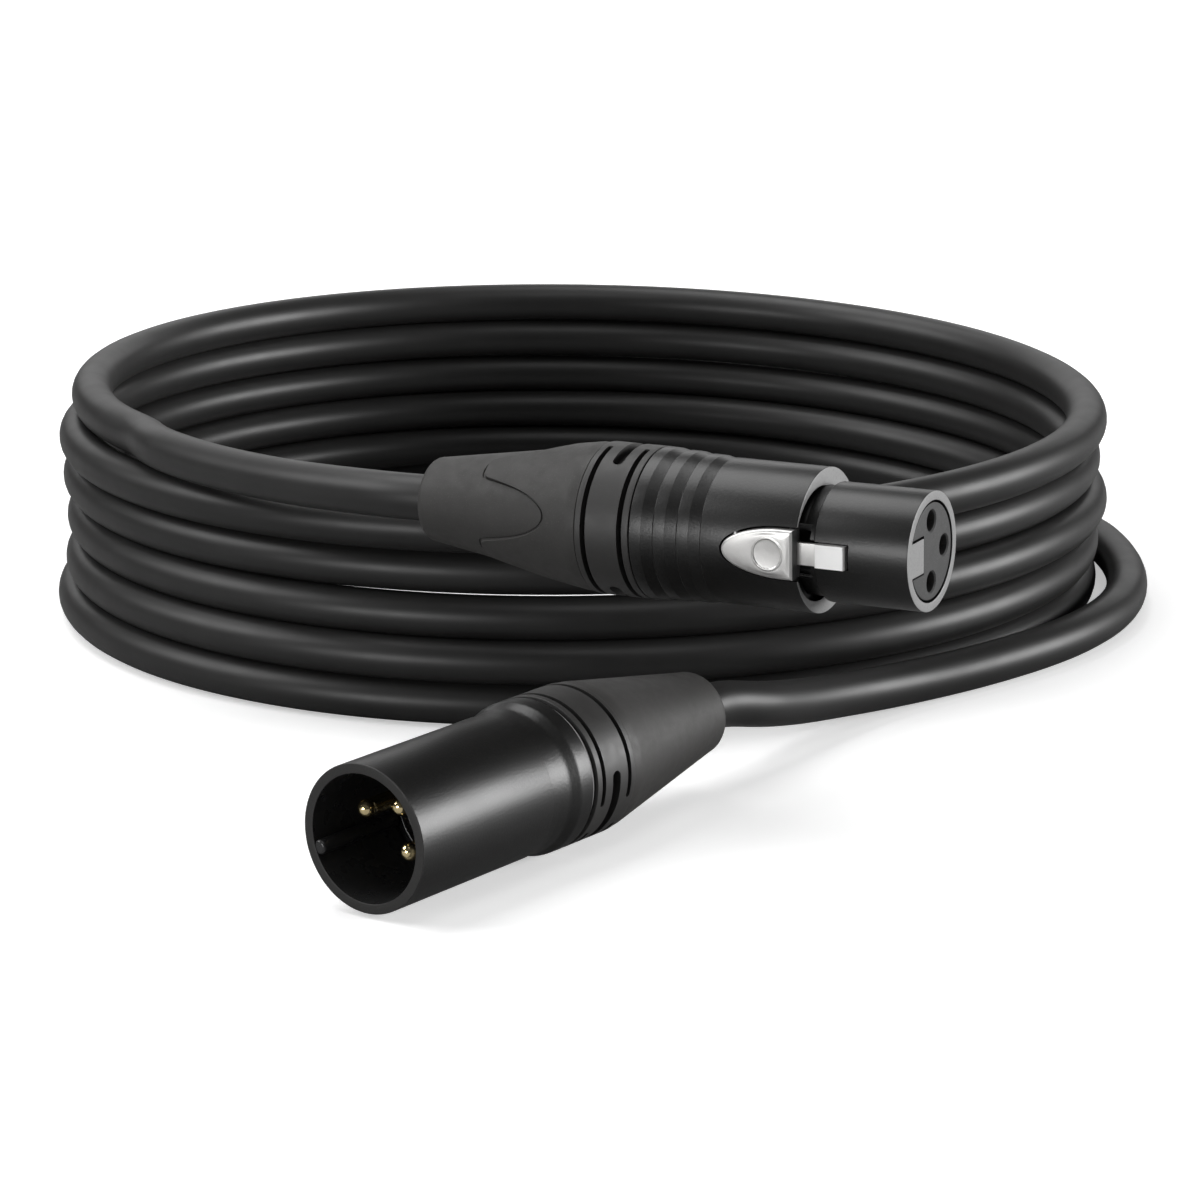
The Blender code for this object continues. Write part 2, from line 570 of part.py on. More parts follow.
def make_pin_connector(m):
    direction = pin_direction()
    frame = axis_frame("pin_axis", PIN_RIM - direction * PIN_LENGTH, direction)
    boot("male_boot", frame, m["boot_rubber"])
    gland("male_gland", frame, m["gland_plastic"], -121)
    chuck("male_chuck", frame, m["clamp_plastic"])
    pin_housing(frame, m["black_housing"])
    pin_insert(frame, m["insert_black"])
    ground_spring(frame, m["spring_steel"])
    wires = (m["wire_red"], m["wire_bare"], m["wire_white"])
    wire_top = PIN_LENGTH - CUP_DEPTH - PIN_BACK - GAP
    for number, angle in enumerate(PIN_ANGLES, 1):
        contact_pin(f"male_pin_{number}", frame, m["gold_plate"], angle)
        conductor(f"male_wire_{number}", frame, wires[number - 1], angle, wire_top)


# ---------------------------------------------------------------- the cable
def coil(material):
    """The wound turns as one ring, with the rounded edges of its top and bottom turns."""
    half, edge = BUNDLE_WIDTH / 2, 2.2 * MM
    corners = [(COIL_RADIUS + half - edge, edge, 270), (COIL_RADIUS + half - edge, BUNDLE_HEIGHT - edge, 0),
               (COIL_RADIUS - half + edge, BUNDLE_HEIGHT - edge, 90), (COIL_RADIUS - half + edge, edge, 180)]
    outline = []
    for r, z, start in corners:
        outline += disc_outline(edge, (r, z), 3, start=start, sweep=90.0)
    return turned("cable_coil", outline, None, material, segments=COIL_SEGMENTS,
                  centre=(COIL_CENTRE.x, COIL_CENTRE.y))


def smooth_line(knots, step):
    """Points a step apart along a Catmull-Rom curve through the knots."""
    ends = [knots[0] * 2 - knots[1]] + knots + [knots[-1] * 2 - knots[-2]]
    dense = []
    for a, b, c, d in zip(ends, ends[1:], ends[2:], ends[3:]):
        for i in range(24):
            t = i / 24
            dense.append(0.5 * (b * 2 + (c - a) * t + (a * 2 - b * 5 + c * 4 - d) * t * t
                                + (b * 3 - a - c * 3 + d) * t ** 3))
    dense.append(knots[-1])
    points, since = [dense[0]], 0.0
    for before, point in zip(dense, dense[1:]):
        since += (point - before).length
        if since >= step:
            points.append(point)
            since = 0.0
    if (points[-1] - dense[-1]).length < step / 2:
        points.pop()
    return points + [dense[-1]]


def lead(name, inside, mouth, route, material):
    """The cable from inside a boot, out of its mouth and on to the coil."""
    knots = [inside, inside.lerp(mouth, 0.5), mouth] + [Vector(p) * MM for p in route]
    return tube(name, smooth_line(knots, 2 * CABLE_D), CABLE_D / 2, 3, material)


def make_cable(m):
    coil(m["cable_jacket"])
    lead("cable_lead_female", SOCKET_MOUTH + socket_direction() * STRIPPED, SOCKET_MOUTH, SOCKET_LEAD,
         m["cable_jacket"])
    mouth = PIN_RIM - pin_direction() * PIN_LENGTH
    lead("cable_lead_male", mouth + pin_direction() * STRIPPED, mouth, PIN_LEAD, m["cable_jacket"])


def main():
    for thing in list(bpy.data.objects):
        bpy.data.objects.remove(thing, do_unlink=True)
    m = make_materials()
    make_socket_connector(m)
    make_pin_connector(m)
    make_cable(m)


main()
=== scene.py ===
"""Looks for the coiled microphone cable: the cable itself, both connectors, floor, lights and camera."""

import math

import bmesh
import bpy
import numpy as np
from mathutils import Matrix, Vector


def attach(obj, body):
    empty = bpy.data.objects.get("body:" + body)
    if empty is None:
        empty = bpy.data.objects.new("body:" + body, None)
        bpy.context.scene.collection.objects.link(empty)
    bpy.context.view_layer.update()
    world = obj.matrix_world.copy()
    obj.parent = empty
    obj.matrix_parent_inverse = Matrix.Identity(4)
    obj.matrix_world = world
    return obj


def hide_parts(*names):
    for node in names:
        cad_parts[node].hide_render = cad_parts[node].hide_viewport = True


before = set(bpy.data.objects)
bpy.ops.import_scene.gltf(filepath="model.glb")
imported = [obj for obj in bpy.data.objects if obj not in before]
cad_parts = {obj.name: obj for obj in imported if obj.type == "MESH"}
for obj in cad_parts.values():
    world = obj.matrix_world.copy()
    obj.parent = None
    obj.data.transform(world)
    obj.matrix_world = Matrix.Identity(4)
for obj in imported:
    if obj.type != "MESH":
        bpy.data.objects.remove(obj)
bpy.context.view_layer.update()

MM = 0.001
SHARP_ANGLE = math.radians(32.0)      # edges that turn more than this are drawn as hard edges

# ---------------------------------------------------------------- where things lie, as in the CAD
CABLE_D = 6.3 * MM
COIL_CENTRE = Vector((-4.0, 44.2, 0.0)) * MM
SOCKET_MOUTH = Vector((-23.5, -52.1, 37.1)) * MM
SOCKET_YAW = math.radians(28.0)
PIN_RIM = Vector((-30.75, -118.4, 10.15)) * MM
PIN_YAW = math.radians(52.4)
PIN_LENGTH = 68.0 * MM
# the leads' middle lines, in millimetres, from each boot to the coil
SOCKET_LEAD = [(-28.6, -49.3, 36.95), (-34.4, -44.6, 36.6), (-40.1, -39.1, 36.1),
               (-45.8, -32.9, 35.6), (-50.4, -27.6, 35.2)]
PIN_LEAD = [(14.1, -60.1, 10.1), (19.3, -55.0, 8.4), (25.2, -46.6, 6.3), (31.3, -38.4, 4.8),
            (37.5, -31.5, 3.8), (43.9, -25.6, 3.3), (50.6, -20.2, 3.2), (56.6, -14.9, 3.2),
            (63.2, -8.2, 3.2), (69.2, -0.6, 3.2), (74.8, 9.2, 3.2), (78.6, 20.0, 3.2),
            (80.5, 31.5, 3.2), (80.8, 43.0, 3.2), (79.8, 54.5, 3.2), (78.2, 61.5, 3.2)]


def socket_direction():
    """The way the socket faces, level."""
    return Vector((math.cos(SOCKET_YAW), -math.sin(SOCKET_YAW), 0.0))


def pin_direction():
    """The way the pin connector faces, level."""
    return Vector((-math.cos(PIN_YAW), -math.sin(PIN_YAW), 0.0))


# ---------------------------------------------------------------- camera
CAMERA_AT = Vector((-1.6, -613.6, 167.0)) * MM
CAMERA_TILT = math.radians(14.42)     # below the horizon
CAMERA_ROLL = math.radians(-0.88)
LENS_MM = 128.2


def make_camera():
    """The camera, in front of the object and above it, tilted down and a little rolled."""
    data = bpy.data.cameras.new("camera")
    data.lens = LENS_MM
    data.sensor_width = 36.0
    data.clip_start = 0.02
    camera = bpy.data.objects.new("camera", data)
    bpy.context.scene.collection.objects.link(camera)
    turn = Matrix.Rotation(math.pi / 2 - CAMERA_TILT, 4, "X") @ Matrix.Rotation(CAMERA_ROLL, 4, "Z")
    camera.matrix_world = Matrix.Translation(CAMERA_AT) @ turn
    bpy.context.scene.camera = camera


# ---------------------------------------------------------------- the cable's route
STEP_DEG = 3
PER_TURN = 360 // STEP_DEG
TURN_START = 58.0                     # where the socket's lead comes on to the top turn
TURN_END = 5 * 360.0 + 250.0          # where the bottom turn leaves for the pin connector
# one row for each turn, in millimetres: its radius, its centre's place off the coil's, and its height;
# the last row is where the bottom turn widens to
TURNS = [(78.3, 1.8, 2.0, 34.0), (78.7, 0.2, 0.3, 27.9), (78.2, -0.1, 1.6, 21.6),
         (78.4, 0.6, 0.2, 15.0), (77.8, -0.2, -1.8, 9.6), (78.5, -1.1, -0.6, 3.2),
         (84.7, -0.6, 0.6, 3.2)]
DROP_FROM, DROP_TO = 80.0, 292.0      # a turn drops to the next one's place between these angles


def eased(t):
    """0 to 1, with a level start and end."""
    return t * t * (3 - 2 * t)


def turn_point(angle):
    """A point of the coil, in metres.  The angle runs from the front, by the left and the back."""
    number = int(angle // 360.0)
    within = angle - 360.0 * number
    here = np.array(TURNS[number])
    after = np.array(TURNS[min(number + 1, len(TURNS) - 1)])
    t = min(1.0, max(0.0, (within - DROP_FROM) / (DROP_TO - DROP_FROM)))
    radius, dx, dy, z = here + (after - here) * eased(t)
    a = math.radians(within)
    return Vector((dx - radius * math.sin(a), dy - radius * math.cos(a), z)) * MM + COIL_CENTRE


PER_KNOT = 16                         # points that the curve is read at, from one knot to the next


def smooth_line(knots, step):
    """Points a step apart along a Catmull-Rom curve through the knots."""
    ends = [knots[0] * 2 - knots[1]] + knots + [knots[-1] * 2 - knots[-2]]
    dense = []
    for a, b, c, d in zip(ends, ends[1:], ends[2:], ends[3:]):
        for i in range(PER_KNOT):
            t = i / PER_KNOT
            dense.append(0.5 * (b * 2 + (c - a) * t + (a * 2 - b * 5 + c * 4 - d) * t * t
                                + (b * 3 - a - c * 3 + d) * t ** 3))
    dense.append(knots[-1])
    return resampled(np.array([tuple(p) for p in dense]), step)


def resampled(line, step):
    """Points along the same line, evenly a step apart."""
    run = np.concatenate([[0.0], np.cumsum(np.linalg.norm(np.diff(line, axis=0), axis=1))])
    count = max(2, int(round(run[-1] / step)) + 1)
    at = np.linspace(0.0, run[-1], count)
    return np.stack([np.interp(at, run, line[:, k]) for k in range(3)], axis=1)


def softened(line, rounds):
    """Averages each point with its neighbours, again and again; the ends stay."""
    line = line.copy()
    for _ in range(rounds):
        line[1:-1] = 0.25 * line[:-2] + 0.5 * line[1:-1] + 0.25 * line[2:]
    return line


FLOOR_GAP = 0.05 * MM                 # between the floor and the cable's lowest turn


def spaced(points, distance, rounds):
    """Pushes neighbouring turns apart until their middles are distance apart, and keeps them up."""
    moved = np.zeros_like(points)
    for _ in range(rounds):
        now = points + moved
        along = np.gradient(now, axis=0)[:-PER_TURN]
        along /= np.linalg.norm(along, axis=1)[:, None]
        apart = now[PER_TURN:] - now[:-PER_TURN]
        apart -= np.sum(apart * along, axis=1)[:, None] * along
        gap = np.linalg.norm(apart, axis=1)
        push = np.clip(distance - gap, 0.0, None)[:, None] * apart / gap[:, None] * 0.5
        moved[PER_TURN:] += push
        moved[:-PER_TURN] -= push
        moved[:, 2] = np.maximum(moved[:, 2], CABLE_D / 2 + FLOOR_GAP - points[:, 2])
        moved[1:-1] = 0.1 * moved[:-2] + 0.8 * moved[1:-1] + 0.1 * moved[2:]
    return points + moved


INSIDE_BOOT = 24.0 * MM               # how far the cable goes into each boot
JOIN_SOCKET = [(-52.2, -25.0, 35.1), (-58.6, -16.6, 34.8), (-65.2, -6.0, 34.6)]   # lead to top turn
TURNS_OVERLAP = 0.1 * MM              # how much the soft jackets press into each other
SPACING_ROUNDS, SOFTENING_ROUNDS = 120, 12


def cable_route():
    """The cable's middle line, from inside the socket's boot to inside the pin connector's."""
    count = int(round((TURN_END - TURN_START) / STEP_DEG)) + 1
    wound = np.array([tuple(turn_point(TURN_START + STEP_DEG * i)) for i in range(count)])
    wound = spaced(wound, CABLE_D - TURNS_OVERLAP, SPACING_ROUNDS)
    into_socket = socket_direction() * INSIDE_BOOT
    into_pin = pin_direction() * INSIDE_BOOT
    pin_mouth = PIN_RIM - pin_direction() * PIN_LENGTH
    knots = [SOCKET_MOUTH + into_socket, SOCKET_MOUTH + into_socket / 2, SOCKET_MOUTH]
    knots += [Vector(p) * MM for p in SOCKET_LEAD[:-1] + JOIN_SOCKET]
    knots += [Vector(p) for p in wound]
    knots += [Vector(p) * MM for p in reversed(PIN_LEAD)]
    knots += [pin_mouth, pin_mouth + into_pin / 2, pin_mouth + into_pin]
    return softened(smooth_line(knots, 1.0 * MM), SOFTENING_ROUNDS)[::2]


def make_cable(material):
    """The whole cord as one piece, with its length."""
    route = cable_route()
    curve = bpy.data.curves.new("cable", "CURVE")
    curve.dimensions = "3D"
    curve.bevel_depth = CABLE_D / 2
    curve.bevel_resolution = 12
    curve.use_fill_caps = True
    spline = curve.splines.new("POLY")
    spline.points.add(len(route) - 1)
    for target, point in zip(spline.points, route):
        target.co = (*point, 1.0)
    spline.use_smooth = True
    curve.materials.append(material)
    cable = bpy.data.objects.new("cable", curve)
    bpy.context.scene.collection.objects.link(cable)
    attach(cable, "cable_assembly")
    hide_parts("cable_coil", "cable_lead_female", "cable_lead_male")
    length = float(np.linalg.norm(np.diff(route, axis=0), axis=1).sum())
    return cable, length


# ---------------------------------------------------------------- procedural materials
RANGE_SOCKETS = ("From Min", "From Max", "To Min", "To Max")


class Surface:
    """A principled material that is put together node by node, in the object's own space."""

    def __init__(self, name, colour, roughness, metallic=0.0, specular=0.5):
        self.material = bpy.data.materials.new(name)
        self.material.use_nodes = True
        self.tree = self.material.node_tree
        self.shader = self.tree.nodes["Principled BSDF"]
        self.colour, self.roughness = colour, roughness
        self.shader.inputs["Base Color"].default_value = (*colour, 1.0)
        self.shader.inputs["Roughness"].default_value = roughness
        self.shader.inputs["Metallic"].default_value = metallic
        self.shader.inputs["Specular IOR Level"].default_value = specular
        self.where = self.node("ShaderNodeTexCoord").outputs["Object"]
        self.bump = None

    def node(self, kind, **settings):
        """A new node, with its settings."""
        made = self.tree.nodes.new(kind)
        for key, value in settings.items():
            setattr(made, key, value)
        return made

    def link(self, source, target):
        self.tree.links.new(source, target)

    def noise(self, size, detail=3.0, stretch=(1.0, 1.0, 1.0)):
        """Noise whose features are about size metres across."""
        place = self.node("ShaderNodeMapping")
        place.inputs["Scale"].default_value = [k / size for k in stretch]
        self.link(self.where, place.inputs["Vector"])
        texture = self.node("ShaderNodeTexNoise")
        texture.inputs["Scale"].default_value = 1.0
        texture.inputs["Detail"].default_value = detail
        self.link(place.outputs["Vector"], texture.inputs["Vector"])
        return texture.outputs["Fac"]

    def ranged(self, source, *limits):
        """The source with low..high taken to to_low..to_high: limits are those four numbers."""
        change = self.node("ShaderNodeMapRange")
        for socket, value in zip(RANGE_SOCKETS, limits):
            change.inputs[socket].default_value = value
        self.link(source, change.inputs["Value"])
        return change.outputs["Result"]

    def mixed(self, factor, colour):
        """Lays another colour over what the base colour is so far."""
        mix = self.node("ShaderNodeMix", data_type="RGBA")
        base = self.shader.inputs["Base Color"]
        if base.is_linked:
            self.link(base.links[0].from_socket, mix.inputs["A"])
        else:
            mix.inputs["A"].default_value = base.default_value
        mix.inputs["B"].default_value = (*colour, 1.0)
        self.link(factor, mix.inputs["Factor"])
        self.link(mix.outputs["Result"], base)

    def mottled(self, size, amount):
        """Broad, faint lighter and darker patches."""
        patches = self.noise(size, 4.0)
        lighter = tuple(min(1.0, c * (1 + amount)) for c in self.colour)
        darker = tuple(c * (1 - amount) for c in self.colour)
        self.mixed(self.ranged(patches, 0.5, 0.7, 0.0, 1.0), lighter)
        self.mixed(self.ranged(patches, 0.5, 0.3, 0.0, 1.0), darker)
        return self

    def flecked(self, size, low, high, colour):
        """Small flecks of another colour, where a fine noise is above low."""
        self.mixed(self.ranged(self.noise(size, 2.0), low, high, 0.0, 1.0), colour)
        return self

    def gloss(self, size, amount):
        """Varies the roughness."""
        low, high = self.roughness - amount, self.roughness + amount
        varied = self.ranged(self.noise(size, 4.0), 0.3, 0.7, low, high)
        self.link(varied, self.shader.inputs["Roughness"])
        return self

    def grained(self, size, depth, stretch=(1.0, 1.0, 1.0)):
        """Adds relief: features about size metres across and depth metres high."""
        relief = self.node("ShaderNodeBump")
        relief.inputs["Strength"].default_value = 1.0
        relief.inputs["Distance"].default_value = depth
        self.link(self.noise(size, stretch=stretch), relief.inputs["Height"])
        if self.bump:
            self.link(self.bump, relief.inputs["Normal"])
        self.bump = relief.outputs["Normal"]
        self.link(self.bump, self.shader.inputs["Normal"])
        return self


def add_cable_surfaces(add):
    """The cable, and the rubber and plastic that clamp it."""
    jacket = add("cable_jacket", (0.0165, 0.0162, 0.0160), 0.43, specular=0.38)
    jacket.mottled(9 * MM, 0.12).gloss(4 * MM, 0.02)
    jacket.flecked(0.35 * MM, 0.66, 0.8, (0.020, 0.0195, 0.019))
    jacket.grained(0.30 * MM, 0.003 * MM).grained(3 * MM, 0.008 * MM)
    boot = add("boot_rubber", (0.027, 0.0258, 0.0245), 0.58)
    boot.mottled(5 * MM, 0.10).gloss(1.5 * MM, 0.05)
    boot.flecked(0.18 * MM, 0.60, 0.75, (0.048, 0.0455, 0.043))
    boot.grained(0.16 * MM, 0.012 * MM).grained(0.5 * MM, 0.010 * MM)
    nut = add("gland_plastic", (0.026, 0.0252, 0.0245), 0.50)
    nut.mottled(4 * MM, 0.08).gloss(1.2 * MM, 0.04)
    nut.flecked(0.15 * MM, 0.62, 0.8, (0.050, 0.048, 0.046)).grained(0.12 * MM, 0.005 * MM)


def add_shell_surfaces(add):
    """The painted shells, their bare edges and the carriers inside them."""
    paint_black = add("black_housing", (0.0046, 0.0045, 0.0044), 0.36, specular=0.50)
    paint_black.mottled(8 * MM, 0.10).gloss(5 * MM, 0.01)
    paint_black.flecked(0.16 * MM, 0.56, 0.72, (0.017, 0.0162, 0.0150)).grained(0.34 * MM, 0.016 * MM)
    edge = add("bare_edge", (0.27, 0.27, 0.27), 0.50, 0.35)
    edge.flecked(0.25 * MM, 0.55, 0.75, (0.21, 0.21, 0.21))
    edge.gloss(0.6 * MM, 0.08).grained(0.2 * MM, 0.006 * MM)
    rim = add("dark_rim", (0.016, 0.0155, 0.015), 0.46)
    rim.flecked(0.2 * MM, 0.55, 0.75, (0.03, 0.029, 0.028))
    rim.gloss(0.8 * MM, 0.06).grained(0.2 * MM, 0.005 * MM)
    # painted light: the cup's inside is a black lighter than the shell's own paint, lifting the cup's
    # shade
    cup = add("cup_black", (0.022, 0.022, 0.0225), 0.28)
    cup.mottled(3 * MM, 0.08).gloss(2.5 * MM, 0.02).grained(0.35 * MM, 0.004 * MM)
    grey = add("insert_grey", (0.036, 0.036, 0.0364), 0.55)
    grey.mottled(2.5 * MM, 0.05).gloss(1.0 * MM, 0.04)
    grey.flecked(0.14 * MM, 0.58, 0.75, (0.085, 0.085, 0.086)).grained(0.12 * MM, 0.004 * MM)
    black = add("insert_black", (0.006, 0.006, 0.0065), 0.24)
    black.mottled(2.5 * MM, 0.2).gloss(1.5 * MM, 0.05).grained(0.8 * MM, 0.008 * MM)


def add_metal_surfaces(add):
    """The latch, with painted shade on its tab's front face and painted light on its hook, the springs and
    the contacts.
    """
    latch = add("latch_metal", (0.62, 0.615, 0.605), 0.36, 0.80)
    latch.mottled(2.5 * MM, 0.05).gloss(1.0 * MM, 0.04)
    latch.flecked(0.12 * MM, 0.58, 0.75, (0.70, 0.695, 0.68)).grained(0.12 * MM, 0.003 * MM)
    # painted shade: a darker copy of the latch metal, for the front face of the tab
    shade = add("latch_shade", (0.14, 0.14, 0.14), 0.45, 0.6)
    shade.mottled(1.5 * MM, 0.08).gloss(0.8 * MM, 0.05).grained(0.15 * MM, 0.004 * MM)
    # painted light: a near-white copy of the latch metal, for the hook's outward face
    hook = add("hook_face", (0.97, 0.97, 0.965), 0.50, 0.30)
    hook.mottled(1.5 * MM, 0.02).gloss(0.8 * MM, 0.04).grained(0.15 * MM, 0.002 * MM)
    steel = add("spring_steel", (0.56, 0.56, 0.57), 0.30, 1.0)
    steel.mottled(1.5 * MM, 0.06).gloss(0.6 * MM, 0.06)
    steel.grained(0.1 * MM, 0.002 * MM, stretch=(1.0, 1.0, 0.2))
    gold = add("gold_plate", (0.95, 0.78, 0.44), 0.14, 1.0)
    gold.mottled(1.2 * MM, 0.05).gloss(0.5 * MM, 0.04).grained(0.2 * MM, 0.0015 * MM)


def add_inner_surfaces(add):
    """The clamps and the wires, inside the connectors."""
    clamp = add("clamp_plastic", (0.50, 0.50, 0.48), 0.50)
    clamp.mottled(2.0 * MM, 0.06).gloss(1.0 * MM, 0.05).grained(0.15 * MM, 0.004 * MM)
    red = add("wire_red", (0.45, 0.03, 0.02), 0.42)
    red.mottled(2.0 * MM, 0.10).gloss(1.0 * MM, 0.05).grained(0.3 * MM, 0.004 * MM)
    white = add("wire_white", (0.72, 0.71, 0.67), 0.42)
    white.mottled(2.0 * MM, 0.04).gloss(1.0 * MM, 0.05).grained(0.3 * MM, 0.004 * MM)
    bare = add("wire_bare", (0.72, 0.42, 0.25), 0.32, 1.0)
    bare.mottled(1.0 * MM, 0.10).gloss(0.5 * MM, 0.06)
    bare.grained(0.12 * MM, 0.010 * MM, stretch=(1.0, 1.0, 0.3))


def add_floor_surfaces(add):
    """The white floor, which glows a little, and the grey one that is only reflected."""
    floor = add("floor", (0.86, 0.86, 0.86), 0.75)
    floor.mottled(80 * MM, 0.01).gloss(15 * MM, 0.05).grained(1.5 * MM, 0.01 * MM)
    floor.shader.inputs["Emission Color"].default_value = (1.0, 1.0, 1.0, 1.0)
    floor.shader.inputs["Emission Strength"].default_value = 0.45
    add("floor_reflected", (0.32, 0.32, 0.32), 0.8).mottled(80 * MM, 0.01)


def make_surfaces():
    """Every material by its name: one for each slot, and those of edges, of painted shade and painted
    light, and of floors.
    """
    made = {}

    def add(name, *settings, **more):
        made[name] = Surface(name, *settings, **more)
        return made[name]

    add_cable_surfaces(add)
    add_shell_surfaces(add)
    add_metal_surfaces(add)
    add_inner_surfaces(add)
    add_floor_surfaces(add)
    return {name: surface.material for name, surface in made.items()}


# ---------------------------------------------------------------- building shapes
def filleted(corners, steps=5):
    """A closed outline with rounded corners: each corner is (u, v), or (u, v, fillet radius)."""
    outline, count = [], len(corners)
    for i, corner in enumerate(corners):
        here = Vector(corner[:2])
        if len(corner) < 3:
            outline.append(tuple(here))
            continue
        back = Vector(corners[i - 1][:2]) - here
        on = Vector(corners[(i + 1) % count][:2]) - here
        cut = min(corner[2] / math.tan(back.angle(on) / 2), 0.48 * back.length, 0.48 * on.length)
        start, end = here + back.normalized() * cut, here + on.normalized() * cut
        for k in range(steps + 1):
            t = k / steps
            outline.append(tuple(start * (1 - t) ** 2 + here * (2 * t * (1 - t)) + end * t * t))
    return outline


SAME_POINT = 0.0001 * MM              # corners that are nearer than this are one
CUT_POINT, SLIVER = 0.003 * MM, 0.001 * MM   # the same for the corners and edges that a cut leaves


def mesh_of(name, bm):
    """A mesh, smooth but for its hard edges, from a bmesh that isn't needed again."""
    bmesh.ops.remove_doubles(bm, verts=bm.verts, dist=SAME_POINT)
    bmesh.ops.recalc_face_normals(bm, faces=bm.faces)
    mesh = bpy.data.meshes.new(name)
    bm.to_mesh(mesh)
    bm.free()
    mesh.shade_smooth()
    mesh.set_sharp_from_angle(angle=SHARP_ANGLE)
    return mesh


def lathe(name, outline_at, segments, centre=(0.0, 0.0)):
    """A closed mesh round an axis: outline_at gives, for an angle, a closed loop of (radius, height).

    Angles turn from the level axis +X towards up, which is -Y in a connector's own space.
    """
    bm = bmesh.new()
    columns = []
    for i in range(segments):
        a = 2 * math.pi * i / segments
        columns.append([bm.verts.new((centre[0] + r * math.cos(a), centre[1] - r * math.sin(a), z))
                        for r, z in outline_at(a)])
    for here, there in zip(columns, columns[1:] + columns[:1]):
        for k in range(len(here)):
            j = (k + 1) % len(here)
            bm.faces.new((here[k], here[j], there[j], there[k]))
    return mesh_of(name, bm)


def turned(name, corners, segments, centre=(0.0, 0.0), steps=5):
    """A turned mesh of one outline: a corner is (radius, height), with a fillet radius if it's round."""
    outline = filleted(corners, steps)
    return lathe(name, lambda angle: outline, segments, centre)


def prism(name, outline, low, high, along):
    """A closed prism: outline is across the axis named by along, from low to high on it."""
    def place(u, v, w):
        """A point that is (u, v) across the axis and w along it."""
        return {"X": (w, u, v), "Y": (u, w, v), "Z": (u, v, w)}[along]

    bm = bmesh.new()
    bottom = [bm.verts.new(place(u, v, low)) for u, v in outline]
    top = [bm.verts.new(place(u, v, high)) for u, v in outline]
    bm.faces.new(bottom)
    bm.faces.new(top[::-1])
    for i in range(len(outline)):
        j = (i + 1) % len(outline)
        bm.faces.new((bottom[i], top[i], top[j], bottom[j]))
    return mesh_of(name, bm)


def disc(centre, radius, count):
    """Points round a circle."""
    angles = [2 * math.pi * k / count for k in range(count)]
    return [(centre[0] + radius * math.cos(a), centre[1] + radius * math.sin(a)) for a in angles]


def block(name, low, high, fillet=0.0):
    """A box between two corners; a fillet rounds its edges along Z."""
    corners = [(low[0], low[1]), (high[0], low[1]), (high[0], high[1]), (low[0], high[1])]
    outline = filleted([(u, v, fillet) for u, v in corners]) if fillet else corners
    return prism(name, outline, low[2], high[2], "Z")


def arc_slot(name, r_in, r_out, height, width, middle, sweep):
    """A cutter for a slot that runs part of the way round, with round ends.

    Its angles, in degrees, turn from +X towards +Y.
    """
    count, half = int(sweep / 2.5), width / 2
    end_sweep = math.degrees(half / ((r_in + r_out) / 2))
    ends = [(math.sin(t), math.cos(t)) for t in (math.pi * k / 12 for k in range(1, 12))]
    first, last = middle - sweep / 2, middle + sweep / 2
    outline = [(first + sweep * i / count, height - half) for i in range(count + 1)]
    outline += [(last + end_sweep * out, height - half * up) for out, up in ends]
    outline += [(last - sweep * i / count, height + half) for i in range(count + 1)]
    outline += [(first - end_sweep * out, height + half * up) for out, up in ends]
    bm = bmesh.new()
    walls = []
    for radius in (r_in, r_out):
        walls.append([])
        for degrees, z in outline:
            a = math.radians(degrees)
            walls[-1].append(bm.verts.new((radius * math.cos(a), radius * math.sin(a), z)))
    total, caps = len(outline), len(ends)
    for i in range(total):
        j = (i + 1) % total
        bm.faces.new((walls[0][i], walls[0][j], walls[1][j], walls[1][i]))
    for wall in walls:
        lower, upper = wall[:count + 1], wall[count + 1 + caps:2 * count + 2 + caps][::-1]
        for i in range(count):
            bm.faces.new((lower[i], lower[i + 1], upper[i + 1], upper[i]))
        bm.faces.new(wall[count:count + caps + 2])
        bm.faces.new(wall[2 * count + 1 + caps:] + [wall[0]])
    return mesh_of(name, bm)


def combined(name, mesh, tools):
    """The mesh with other meshes cut out of it, or joined to it: tools are (operation, mesh) pairs."""
    body = bpy.data.objects.new(name, mesh)
    bpy.context.scene.collection.objects.link(body)
    helpers = []
    for operation, tool in tools:
        helper = bpy.data.objects.new(f"{name}_tool", tool)
        bpy.context.scene.collection.objects.link(helper)
        modifier = body.modifiers.new("cut", "BOOLEAN")
        modifier.solver = "MANIFOLD"
        modifier.operation = operation
        modifier.object = helper
        helpers.append(helper)
    bpy.context.view_layer.update()
    graph = bpy.context.evaluated_depsgraph_get()
    result = bpy.data.meshes.new_from_object(body.evaluated_get(graph))
    result.name = name
    for thing in helpers + [body]:
        bpy.data.objects.remove(thing, do_unlink=True)
    bm = bmesh.new()
    bm.from_mesh(result)
    bmesh.ops.remove_doubles(bm, verts=bm.verts, dist=CUT_POINT)
    bmesh.ops.dissolve_degenerate(bm, edges=bm.edges, dist=SLIVER)
    bmesh.ops.triangulate(bm, faces=[face for face in bm.faces if len(face.verts) > 4])
    bm.to_mesh(result)
    bm.free()
    result.shade_smooth()
    result.set_sharp_from_angle(angle=SHARP_ANGLE)
    return result


def connector_space(origin, direction):
    """+Z is the connector's axis, +Y points down and +X is level."""
    z_axis = direction.normalized()
    x_axis = z_axis.cross(Vector((0, 0, 1))).normalized()
    y_axis = z_axis.cross(x_axis)
    return Matrix.Translation(origin) @ Matrix((x_axis, y_axis, z_axis)).transposed().to_4x4()


def put(name, mesh, space, surfaces, body, slot, *replaced):
    """Places a piece on its body, with a material for each of the indices that paint() gave."""
    thing = bpy.data.objects.new(name, mesh)
    bpy.context.scene.collection.objects.link(thing)
    thing.matrix_world = space
    indices = [0] * len(mesh.polygons)
    mesh.polygons.foreach_get("material_index", indices)
    mesh.materials.clear()
    for key in surfaces:
        mesh.materials.append(SURFACES[key])
    mesh.polygons.foreach_set("material_index", indices)
    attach(thing, body)
    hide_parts(*replaced)
    return thing


